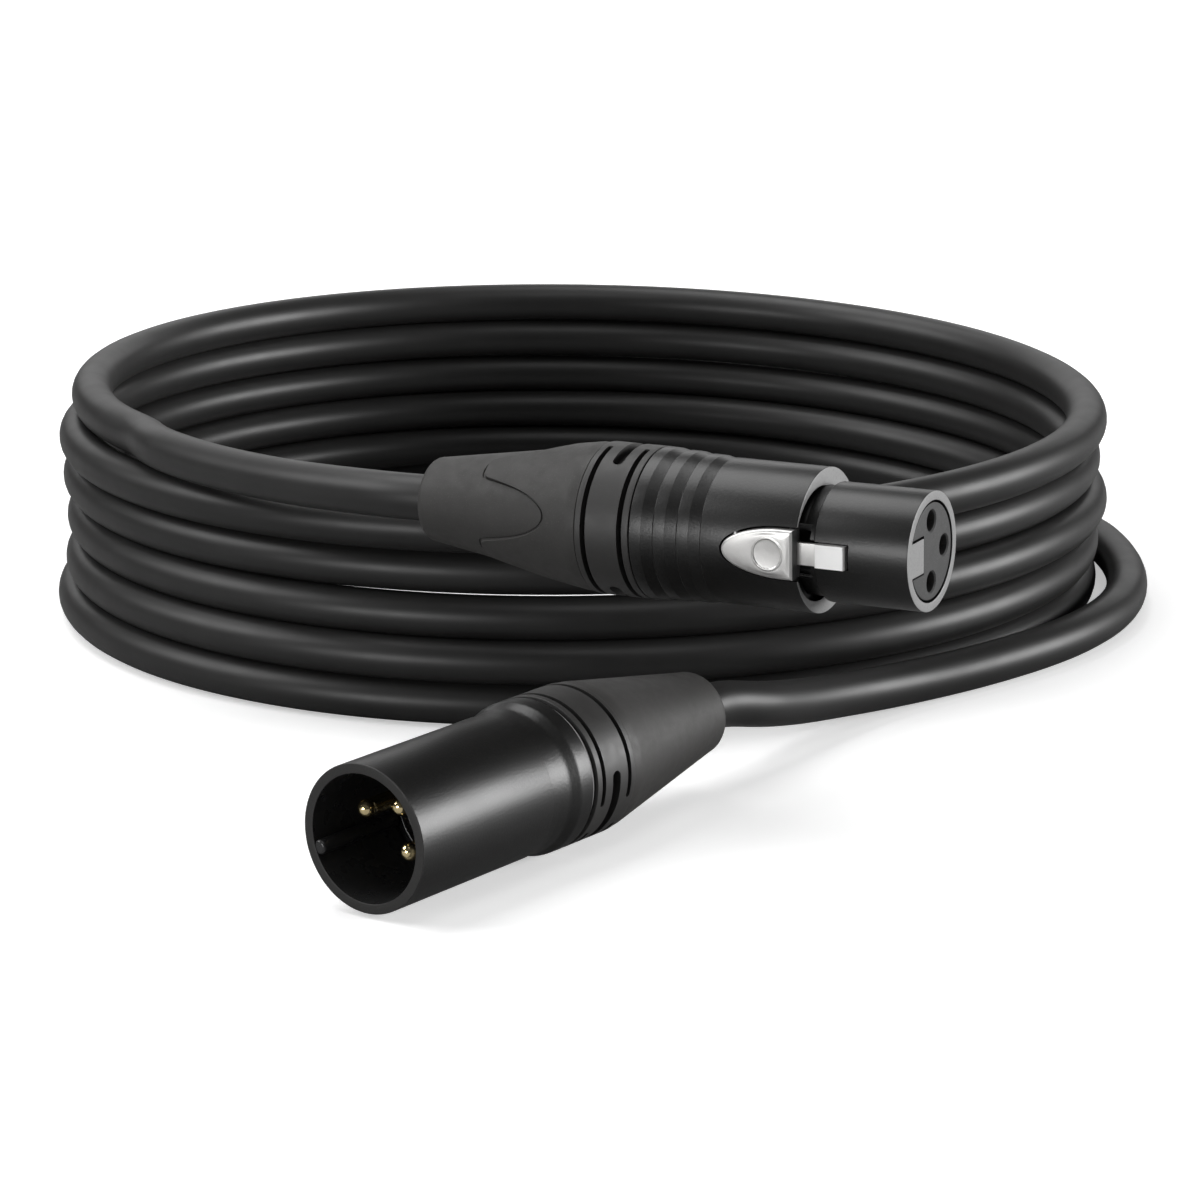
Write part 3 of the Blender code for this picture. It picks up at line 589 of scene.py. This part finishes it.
def paint(mesh, index, chosen):
    """Gives a material index to the faces that chosen says yes to, by their middle and normal."""
    for face in mesh.polygons:
        if chosen(face.center, face.normal):
            face.material_index = index


# ---------------------------------------------------------------- pieces that both connectors have
CREST_R = 10.1 * MM                   # the nuts, and the widest part of the shells
BARREL_R = 9.5 * MM
SHELL_START = 34.4 * MM
SHELL_BORE_R = 7.6 * MM               # at the shell's rear, where the nut screws in
POLE_R = 4.0 * MM                     # how far the contacts' axes are from the connector's
SOCKET_FACING, PIN_FACING = -5, -121  # where each nut's slots are, in arc_slot's degrees


def boot_mesh(name, scalloped):
    """The tapered rubber sleeve with a rolled lip.

    On the scalloped one, four tongues of the lower level reach into the wide end.
    """
    bore, end, inner_end = CABLE_D / 2 + 0.25 * MM, 26.38 * MM, 21.2 * MM
    mouth_r, wide_r, wide_from, lip = 5.75 * MM, 9.9 * MM, 24.9 * MM, 1.15 * MM
    step = 0.55 * MM if scalloped else 0.0
    turned_by, edge = math.radians(9.0), 0.17 * MM
    groove_depth, groove_width = 0.16 * MM if scalloped else 0.0, 0.34 * MM
    longest, pulled_back, shortest, blend = 21.3 * MM, 20.0 * MM, 10.4 * MM, 1.5 * MM

    def level(z):
        """The sleeve's radius on the lower level."""
        return mouth_r + (wide_r - step - mouth_r) * min(1.0, (z - lip) / (wide_from - lip))

    def boundary(angle):
        """Where the lower level ends: round at a tongue's far end, and round again between tongues."""
        u = ((angle - turned_by + math.pi / 4) % (math.pi / 2) - math.pi / 4) / (math.pi / 4)
        tongue = longest - pulled_back * u * u
        return 0.5 * (tongue + shortest + math.sqrt((tongue - shortest) ** 2 + blend ** 2))

    def outline_at(angle):
        """Up the outside from the rolled lip, then back down the bore."""
        outline = [(bore, 0.35 * MM), (bore + 0.35 * MM, 0.0)]
        outline += [(mouth_r - lip + lip * math.sin(t), lip - lip * math.cos(t))
                    for t in (math.radians(d) for d in range(0, 90, 10))]
        far = boundary(angle) if scalloped else 15.0 * MM
        for k in range(31):
            z = lip + (far - edge - groove_width - lip) * k / 30
            outline.append((level(z), z))
        for t in (0.35, 0.7):
            z = far - edge - groove_width * (1 - t)
            outline.append((level(z) - groove_depth, z))
        for k in range(9):
            t = k / 8
            z = far - edge + 2 * edge * t
            outline.append((level(z) - groove_depth + (step + groove_depth) * eased(t), z))
        for k in range(1, 21):
            z = far + edge + (wide_from - far - edge) * k / 20
            outline.append((level(z) + step, z))
        outline += [(wide_r, wide_from + 0.5 * MM), (wide_r, end - 0.12 * MM), (wide_r - 0.12 * MM, end)]
        outline += [(bore + 2.6 * MM, end), (bore, inner_end)]
        return outline

    return lathe(name, outline_at, 360)


def gland_mesh(name, facing):
    """The slotted ring nut: two fine slots round each flank, and a wide one above and below."""
    low, high, bore, fillet, row = 26.46 * MM, 34.30 * MM, 6.4 * MM, 0.12 * MM, 0.49 * MM
    corners = [(bore, low), (CREST_R, low, fillet)]
    corners += [(CREST_R, low + k * row) for k in range(1, 16)]
    corners += [(CREST_R, high, fillet), (bore, high)]
    ring = turned(name, corners, 240)
    outside, fine_floor, wide_floor = CREST_R + MM, CREST_R - 1.3 * MM, CREST_R - 1.2 * MM
    fine_width, fine_sweep, wide_width, wide_sweep = 0.75 * MM, 150, 1.6 * MM, 65
    tools = []
    for middle in (facing, facing + 180):
        for height in (low + 1.2 * MM, high - 1.3 * MM):
            fine = arc_slot("slot", fine_floor, outside, height, fine_width, middle, fine_sweep)
            tools.append(("DIFFERENCE", fine))
        wide = arc_slot("slot", wide_floor, outside, (low + high) / 2, wide_width, middle + 90, wide_sweep)
        tools.append(("DIFFERENCE", wide))
    return combined(name, ring, tools)


def across(radius, angle):
    """A point across the connector: the angle, in degrees, turns from level towards up."""
    a = math.radians(angle)
    return (radius * math.cos(a), -radius * math.sin(a))


# ---------------------------------------------------------------- the socket connector
SOCKET_LENGTH = 72.7 * MM
SHOULDER = 57.9 * MM
NOSE_BORE_R = 6.6 * MM
LATCH_TIP = 47.5 * MM
TAB_FRONT = SHOULDER - 0.3 * MM
TAB_HALF = 3.25 * MM
HOOK_HALF = 1.525 * MM
LATCH_PIVOT = (8.35 * MM, 49.1 * MM)  # from the connector's axis, and along it


def tab_outline(grow):
    """Points round the tab from its front's one side, by the tip, to the other: (across, along)."""
    half, front, tip = TAB_HALF + grow, TAB_FRONT + grow, LATCH_TIP - grow
    widest, steps = LATCH_TIP + 0.85 * (TAB_FRONT - LATCH_TIP), 72
    outline = [(-half, front)]
    for i in range(steps + 1):
        a = math.pi * i / steps
        outline.append((-half * math.cos(a), widest - (widest - tip) * math.sin(a)))
    return outline + [(half, front)]


def shoulder_recess(neck_r):
    """A cutter for the shoulder's recess, which is round but off the axis, so it tapers to nothing; the
    recess keeps the black paint as painted shade.
    """
    recess_r, off_axis, floor, top = 7.5 * MM, 1.88 * MM, SHOULDER - 1.1 * MM, SHOULDER + MM
    core_r = neck_r + 0.01 * MM
    well_corners = [(0, floor), (recess_r, floor), (recess_r, top), (0, top)]
    core_corners = [(0, floor - MM), (core_r, floor - MM), (core_r, top + MM), (0, top + MM)]
    well = turned("recess", well_corners, 128, (off_axis, 0.0))
    return combined("recess", well, [("DIFFERENCE", turned("core", core_corners, 192))])


def socket_shell():
    """Three ribs, the barrel with the latch's window, and the nose with its key."""
    rib_length, neck_r, nose_r, edge = 3.33 * MM, 7.2 * MM, 7.8 * MM, 0.07 * MM
    corners = [(SHELL_BORE_R, SHELL_START), (CREST_R - 0.15 * MM, SHELL_START, edge)]
    for k in range(3):
        r, start = CREST_R - 0.2 * MM * k, SHELL_START + rib_length * k
        corners += [(r, start + 0.10 * MM, edge), (r - 0.03 * MM, start + 0.50 * rib_length, 0.25 * MM),
                    (r - 0.40 * MM, start + 0.97 * rib_length, 0.02 * MM)]
    barrel_start = SHELL_START + 3 * rib_length
    neck_end, front = 59.65 * MM, SOCKET_LENGTH
    corners += [(BARREL_R, barrel_start + 0.06 * MM, edge), (BARREL_R, SHOULDER, 0.12 * MM),
                (neck_r, SHOULDER, 0.1 * MM), (neck_r, neck_end, 0.1 * MM), (nose_r, neck_end, 0.18 * MM),
                (nose_r, front, 0.12 * MM), (NOSE_BORE_R, front, 0.08 * MM), (NOSE_BORE_R, 44.4 * MM),
                (SHELL_BORE_R, 42.6 * MM)]
    shell = turned("female_shell", corners, 192)
    half, gap = 2.25 * MM, HOOK_HALF + 0.15 * MM
    key = block("key", (NOSE_BORE_R - 4.0 * MM, -half, front - 6.7 * MM),
                (NOSE_BORE_R + 0.6 * MM, half, front), 0.15 * MM)
    (left, _), *round_tip, (right, _) = tab_outline(0.3 * MM)
    window = [(left, SHOULDER + MM)] + round_tip + [(right, SHOULDER + MM)]
    hook_window = block("hook_window", (5 * MM, -gap, SHOULDER - MM), (10.5 * MM, gap, 64.5 * MM))
    pin_hole = prism("pin_hole", disc(LATCH_PIVOT, 0.6 * MM, 24), -2.9 * MM, 2.9 * MM, "Y")
    mesh = combined("female_shell", shell, [
        ("DIFFERENCE", shoulder_recess(neck_r)), ("UNION", key),
        ("DIFFERENCE", prism("window", window, NOSE_BORE_R - 0.8 * MM, 12 * MM, "X")),
        ("DIFFERENCE", hook_window), ("DIFFERENCE", pin_hole)])
    # the shoulder's face and the nose's front are bare metal; the recess in the shoulder keeps the black
    # paint, as painted shade beside the latch
    paint(mesh, 1, lambda c, n: n.z > 0.7 and (abs(c.z - SHOULDER) < 0.05 * MM or c.z > front - 0.06 * MM))
    return mesh


def socket_face():
    """The grey carrier, with the key's groove and three ways for the contacts."""
    radius, low, high, half = 6.3 * MM, 45.3 * MM, 72.6 * MM, 2.55 * MM
    carrier = turned("female_face", [(0, low), (radius, low), (radius, high, 0.12 * MM), (0, high)], 128)
    groove = block("groove", (2.3 * MM, -half, low - MM), (8 * MM, half, high + MM), 0.2 * MM)
    tools = [("DIFFERENCE", groove)]
    wide, mouth, narrow = 1.75 * MM, 1.55 * MM, 1.35 * MM
    for angle in (90.0, 180.0, 270.0):
        way = [(0, low - MM), (wide, low - MM), (wide, high - 2.6 * MM), (narrow, high - 2.6 * MM),
               (narrow, high - 0.18 * MM), (mouth, high + 0.02 * MM), (mouth, high + MM), (0, high + MM)]
        tools.append(("DIFFERENCE", turned("way", way, 40, across(POLE_R, angle))))
    return combined("female_face", carrier, tools)


# the button from its middle out, as (radius, height) in millimetres: a shallow dish and a raised ring
BUTTON = [(0.02, -0.10), (0.5, -0.10), (1.0, -0.09), (1.5, -0.07), (1.78, -0.06), (1.88, -0.05),
          (1.95, 0.02), (2.02, 0.06), (2.10, 0.06), (2.17, 0.02), (2.24, 0.0), (2.34, 0.0)]


def latch_tab():
    """The push tab: rings of points from the button's middle, over the edge, to the underside."""
    top, under, button = 10.0 * MM, 8.3 * MM, LATCH_TIP + 6.7 * MM
    edge_r, crown, dip, front_steps = 0.45 * MM, 0.14 * MM, 0.02 * MM, 16

    def all_round(grow):
        """The tab's outline, with points along its straight front too."""
        outline = tab_outline(grow)
        (u0, v0), (u1, v1) = outline[-1], outline[0]
        parts = [k / front_steps for k in range(1, front_steps)]
        return outline + [(u0 + (u1 - u0) * t, v0 + (v1 - v0) * t) for t in parts]

    def circle(radius, height):
        """A ring round the button's middle, with a point for each of the outline's."""
        turns = [math.atan2(v - button, u) for u, v in all_round(0.0)]
        return [(radius * math.cos(a), button + radius * math.sin(a), height) for a in turns]

    def inset(amount, height):
        """A ring that follows the outline, an amount inside it."""
        return [(u, v, height) for u, v in all_round(-amount)]

    rings = [circle(radius * MM, top + height * MM - dip) for radius, height in BUTTON]
    inner_ring, edge_ring = rings[-1], inset(edge_r, top - crown)
    for k in range(1, 9):
        t = k / 8
        height = top - dip - (crown - dip) * t * t
        rings.append([(u0 + (u1 - u0) * t, v0 + (v1 - v0) * t, height)
                      for (u0, v0, _), (u1, v1, _) in zip(inner_ring, edge_ring)])
    for k in range(1, 9):
        a = math.pi / 2 * k / 8
        rings.append(inset(edge_r * (1 - math.sin(a)), top - crown - edge_r * (1 - math.cos(a))))
    rings += [inset(0.0, under + 0.1 * MM), inset(0.1 * MM, under)]
    bm = bmesh.new()
    rows = [[bm.verts.new((h, u, v)) for u, v, h in ring] for ring in rings]
    for inner, outer in zip(rows, rows[1:]):
        for i in range(len(inner)):
            j = (i + 1) % len(inner)
            bm.faces.new((inner[i], inner[j], outer[j], outer[i]))
    bm.faces.new(rows[0])
    bm.faces.new(rows[-1][::-1])
    return mesh_of("latch_tab", bm)


def latch_mesh():
    """The push tab with its neck, hook and pivot eye, in the connector's space."""
    neck_half, chin_half = HOOK_HALF - 0.05 * MM, 3.1 * MM
    chin = block("chin", (7.35 * MM, -chin_half, TAB_FRONT - 1.3 * MM),
                 (8.6 * MM, chin_half, TAB_FRONT - 0.02 * MM), 0.1 * MM)
    neck = block("neck", (7.5 * MM, -neck_half, SHOULDER - 2.5 * MM),
                 (8.15 * MM, neck_half, 60.7 * MM), 0.1 * MM)
    inside, outside, rear, tip = 7.0 * MM, 8.55 * MM, 60.2 * MM, 64.3 * MM
    hook_side = filleted([(inside, rear), (outside, rear, 0.08 * MM), (outside, tip - 0.2 * MM, 0.12 * MM),
                          (outside - 0.2 * MM, tip, 0.05 * MM), (inside, tip)])
    hook = prism("hook", hook_side, -HOOK_HALF, HOOK_HALF, "Y")
    knuckle = prism("knuckle", disc(LATCH_PIVOT, 1.35 * MM, 32), -1.2 * MM, 1.2 * MM, "Y")
    eye = prism("eye", disc(LATCH_PIVOT, 0.58 * MM, 24), -2.6 * MM, 2.6 * MM, "Y")
    mesh = combined("latch_tab", latch_tab(), [("UNION", chin), ("UNION", neck), ("UNION", hook),
                                               ("UNION", knuckle), ("DIFFERENCE", eye)])
    # painted shade: the tab's front face takes the darker copy of the latch metal
    paint(mesh, 1, lambda c, n: abs(c.z - TAB_FRONT) < 0.08 * MM and n.z > 0.9)
    # painted light: the hook's outward face takes the near-white copy of the latch metal
    paint(mesh, 2, lambda c, n: c.z > rear and n.x > 0.8)
    return mesh


def make_socket_pieces():
    """The socket connector's own visual pieces; the latch rides on its own body."""
    space = connector_space(SOCKET_MOUTH, socket_direction())
    put("female_sleeve", boot_mesh("female_sleeve", True), space, ["boot_rubber"],
        "cable_assembly", "boot_rubber", "female_boot")
    put("female_nut", gland_mesh("female_nut", SOCKET_FACING), space, ["gland_plastic"],
        "cable_assembly", "gland_plastic", "female_gland")
    put("female_shell", socket_shell(), space, ["black_housing", "bare_edge"],
        "cable_assembly", "black_housing", "female_housing")
    put("female_face", socket_face(), space, ["insert_grey"],
        "cable_assembly", "insert_grey", "female_insert")
    # the latch's materials: its metal, a darker copy as painted shade, and a near-white copy as painted
    # light
    put("latch_tab", latch_mesh(), space, ["latch_metal", "latch_shade", "hook_face"],
        "latch", "latch_metal", "latch_lever")


# ---------------------------------------------------------------- the pin connector
CUP_FLOOR = PIN_LENGTH - 14.5 * MM
CUP_R = 8.2 * MM
PIN_ANGLES = (32.7, 122.7, 212.7)
RIB_ANGLE = -18.3                     # where the cup's key rib is


def pin_shell():
    """The crest, the waist, and the barrel with the cup and its key rib."""
    waist_end, fine = 42.6 * MM, 0.06 * MM
    corners = [(SHELL_BORE_R, SHELL_START), (CREST_R - 0.55 * MM, SHELL_START, fine),
               (CREST_R, SHELL_START + 0.9 * MM, fine),
               (CREST_R - 0.02 * MM, SHELL_START + 3.2 * MM, 1.6 * MM),
               (CREST_R - 0.62 * MM, waist_end - 3.4 * MM, 3.0 * MM),
               (BARREL_R - 0.16 * MM, waist_end - 1.5 * MM, 0.5 * MM),
               (BARREL_R - 0.2 * MM, waist_end, 0.02 * MM),
               (BARREL_R - 0.02 * MM, waist_end + 0.06 * MM, fine), (BARREL_R, PIN_LENGTH, 0.14 * MM),
               (CUP_R, PIN_LENGTH, 0.10 * MM), (CUP_R, CUP_FLOOR - 14 * MM),
               (SHELL_BORE_R, CUP_FLOOR - 15.5 * MM)]
    shell = turned("male_shell", corners, 192)
    rib_r, rib_start, rib_end = 0.95 * MM, CUP_FLOOR + 0.3 * MM, PIN_LENGTH - 0.1 * MM
    rib_corners = [(0, rib_start), (rib_r, rib_start), (rib_r, rib_end, 0.85 * MM), (0, rib_end)]
    rib = turned("rib", rib_corners, 32, across(CUP_R - 0.45 * MM, RIB_ANGLE), 8)
    mesh = combined("male_shell", shell, [("UNION", rib)])

    def in_cup(c, n):
        inside = math.hypot(c.x, c.y) < CUP_R + 0.02 * MM
        return inside and CUP_FLOOR - 13 * MM < c.z < PIN_LENGTH - 0.05 * MM

    def on_rim(c, n):
        return math.hypot(c.x, c.y) > CUP_R - 0.005 * MM and c.z > PIN_LENGTH - 0.12 * MM

    def on_rear_bevel(c, n):
        return math.hypot(c.x, c.y) > CREST_R - 0.6 * MM and c.z < SHELL_START + 0.88 * MM and n.z < -0.2

    # painted light: the faces inside the cup take the lighter black
    paint(mesh, 1, in_cup)
    paint(mesh, 2, on_rim)
    paint(mesh, 3, on_rear_bevel)
    return mesh


def pin_face():
    """The black carrier at the cup's bottom, with a raised rim and three ways for the pins."""
    radius, back = CUP_R - 0.3 * MM, CUP_FLOOR - 13 * MM
    rim, face = CUP_FLOOR - 0.2 * MM, CUP_FLOOR - 0.9 * MM
    corners = [(0, back), (radius, back), (radius, rim, 0.35 * MM), (radius - 1.2 * MM, rim, 0.35 * MM),
               (radius - 1.6 * MM, face, 0.3 * MM), (0, face)]
    low, high, way_r = back - MM, CUP_FLOOR + MM, 1.5 * MM
    way = [(0, low), (way_r, low), (way_r, high), (0, high)]
    tools = [("DIFFERENCE", turned("way", way, 40, across(POLE_R, angle))) for angle in PIN_ANGLES]
    return combined("male_face", turned("male_face", corners, 128), tools)


def pin_mesh(name, angle):
    """A round pin with a ball tip, and a solder cup behind."""
    radius, tip, back = 1.2 * MM, PIN_LENGTH - 3.5 * MM, CUP_FLOOR - 16.5 * MM
    cup_r, cup_floor = 0.75 * MM, back + 3 * MM
    outline = [(0, cup_floor), (cup_r, cup_floor), (cup_r, back), (radius, back)]
    outline += [(radius - 0.05 * MM, tip - 2.1 * radius), (radius - 0.1 * MM, tip - 1.75 * radius)]
    outline += [(radius * math.cos(t), tip - radius + radius * math.sin(t))
                for t in (math.radians(d) for d in range(-24, 90, 6))]
    outline.append((0, tip))
    return lathe(name, lambda a: outline, 48, across(POLE_R, angle))


def make_pin_pieces():
    """The pin connector's pieces, and the ground spring, which together end the cord."""
    space = connector_space(PIN_RIM - pin_direction() * PIN_LENGTH, pin_direction())
    made = [put("male_sleeve", boot_mesh("male_sleeve", False), space, ["boot_rubber"],
                "cable_assembly", "boot_rubber", "male_boot"),
            put("male_nut", gland_mesh("male_nut", PIN_FACING), space, ["gland_plastic"],
                "cable_assembly", "gland_plastic", "male_gland"),
            put("male_shell", pin_shell(), space, ["black_housing", "cup_black", "dark_rim", "bare_edge"],
                "cable_assembly", "black_housing", "male_housing"),
            put("male_face", pin_face(), space, ["insert_black"],
                "cable_assembly", "insert_black", "male_insert")]
    for number, angle in enumerate(PIN_ANGLES, 1):
        name = f"male_contact_{number}"
        made.append(put(name, pin_mesh(name, angle), space, ["gold_plate"],
                        "cable_assembly", "gold_plate", f"male_pin_{number}"))
    return made + [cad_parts["male_ground_spring"]]


# ---------------------------------------------------------------- CAD nodes that stay in view
KEPT_NODES = {"female_chuck": "clamp_plastic", "male_chuck": "clamp_plastic", "latch_pin": "spring_steel",
              "latch_spring": "spring_steel", "male_ground_spring": "spring_steel"}
for number in (1, 2, 3):
    KEPT_NODES[f"female_contact_{number}"] = "gold_plate"
    for end in ("female", "male"):
        KEPT_NODES[f"{end}_wire_{number}"] = ("wire_red", "wire_bare", "wire_white")[number - 1]


def finish_cad_nodes():
    """Gives the CAD's own inner pieces their materials."""
    for name, key in KEPT_NODES.items():
        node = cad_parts[name]
        if not node.material_slots:
            node.data.materials.append(SURFACES[key])
        for place in node.material_slots:
            place.material = SURFACES[key]


# ---------------------------------------------------------------- floor and lights
FLOOR_HALF = 10.0                     # half the floor's width, in metres
FLOOR_CELLS = 8


def make_plane(name, surface, height):
    """A wide level sheet under the object."""
    bm = bmesh.new()
    bmesh.ops.create_grid(bm, x_segments=FLOOR_CELLS, y_segments=FLOOR_CELLS, size=FLOOR_HALF)
    mesh = bpy.data.meshes.new(name)
    bm.to_mesh(mesh)
    bm.free()
    mesh.materials.append(SURFACES[surface])
    plane = bpy.data.objects.new(name, mesh)
    bpy.context.scene.collection.objects.link(plane)
    plane.location.z = height
    return plane


def make_floor():
    """A white floor, and a greyer one just under it, which is what the object reflects."""
    white = make_plane("floor", "floor", 0.0)
    white.visible_diffuse = white.visible_glossy = white.visible_shadow = False
    grey = make_plane("floor_reflected", "floor_reflected", -0.2 * MM)
    grey.visible_camera = False


LIGHT_DISTANCE = 3.0                  # in metres
# each softbox: where it is from the object, its width and height in metres, and its radiance
LIGHTS = {"overhead": ((-0.29, 0.34, 0.89), (2.1, 1.9), 3.8),
          "right": ((0.97, 0.02, 0.19), (1.9, 1.3), 14.0),
          "left": ((-0.83, 0.05, 0.56), (1.6, 1.3), 5.5),
          "front": ((-0.66, -0.73, 0.08), (1.2, 0.9), 12.0),
          "above_front": ((0.05, -0.42, 0.90), (1.5, 1.3), 1.8),
          "behind": ((0.0, 0.94, 0.33), (3.6, 0.9), 1.45)}
FRONT_CARD = (-0.05, -0.60, 0.80)     # where the environment is brighter, as from a reflector card
WORLD_BELOW, WORLD_ABOVE, WORLD_BEHIND, WORLD_FRONT = 0.25, 0.55, 0.50, 0.75


def make_light(name, toward, size, radiance):
    """A softbox that faces the object from far away: radiance is how bright it looks."""
    data = bpy.data.lights.new(name, "AREA")
    data.shape = "RECTANGLE"
    data.size, data.size_y = size
    data.energy = radiance * math.pi * size[0] * size[1]
    lamp = bpy.data.objects.new(name, data)
    bpy.context.scene.collection.objects.link(lamp)
    direction = Vector(toward).normalized()
    lamp.location = direction * LIGHT_DISTANCE
    lamp.rotation_euler = (-direction).to_track_quat("-Z", "Y").to_euler()


def make_world():
    """Dim from below, brighter from above, from low behind the object and from above its front."""
    world = bpy.data.worlds.new("world")
    world.use_nodes = True
    tree = world.node_tree
    direction = tree.nodes.new("ShaderNodeTexCoord").outputs["Generated"]
    parts = tree.nodes.new("ShaderNodeSeparateXYZ")
    tree.links.new(direction, parts.inputs["Vector"])

    def ramp(source, *limits):
        """A smooth step: the source with low..high taken to to_low..to_high."""
        node = tree.nodes.new("ShaderNodeMapRange")
        node.interpolation_type = "SMOOTHSTEP"
        for socket, value in zip(RANGE_SOCKETS, limits):
            node.inputs[socket].default_value = value
        tree.links.new(source, node.inputs["Value"])
        return node.outputs["Result"]

    def joined(operation, first, second):
        node = tree.nodes.new("ShaderNodeMath")
        node.operation = operation
        tree.links.new(first, node.inputs[0])
        tree.links.new(second, node.inputs[1])
        return node.outputs["Value"]

    above = ramp(parts.outputs["Z"], -0.15, 0.12, WORLD_BELOW, WORLD_ABOVE)
    behind = ramp(parts.outputs["Y"], 0.2, 1.0, 0.0, WORLD_BEHIND)
    low_down = joined("MULTIPLY", ramp(parts.outputs["Z"], 0.75, 0.25, 0.0, 1.0),
                      ramp(parts.outputs["Z"], -0.25, 0.0, 0.0, 1.0))
    toward_card = tree.nodes.new("ShaderNodeVectorMath")
    toward_card.operation = "DOT_PRODUCT"
    toward_card.inputs[1].default_value = Vector(FRONT_CARD).normalized()
    tree.links.new(direction, toward_card.inputs[0])
    card = ramp(toward_card.outputs["Value"], 0.5, 0.95, 0.0, WORLD_FRONT)
    total = joined("ADD", above, joined("MULTIPLY", behind, low_down))
    total = joined("ADD", total, card)
    tree.links.new(total, tree.nodes["Background"].inputs["Strength"])
    bpy.context.scene.world = world


def make_lights():
    """The environment and the softboxes, seen without a film look."""
    make_world()
    for name, settings in LIGHTS.items():
        make_light(name, *settings)
    bpy.context.scene.view_settings.view_transform = "Standard"


make_camera()
SURFACES = make_surfaces()
cable, CABLE_LENGTH = make_cable(SURFACES["cable_jacket"])
make_socket_pieces()
far_end = make_pin_pieces()
finish_cad_nodes()
make_floor()
make_lights()
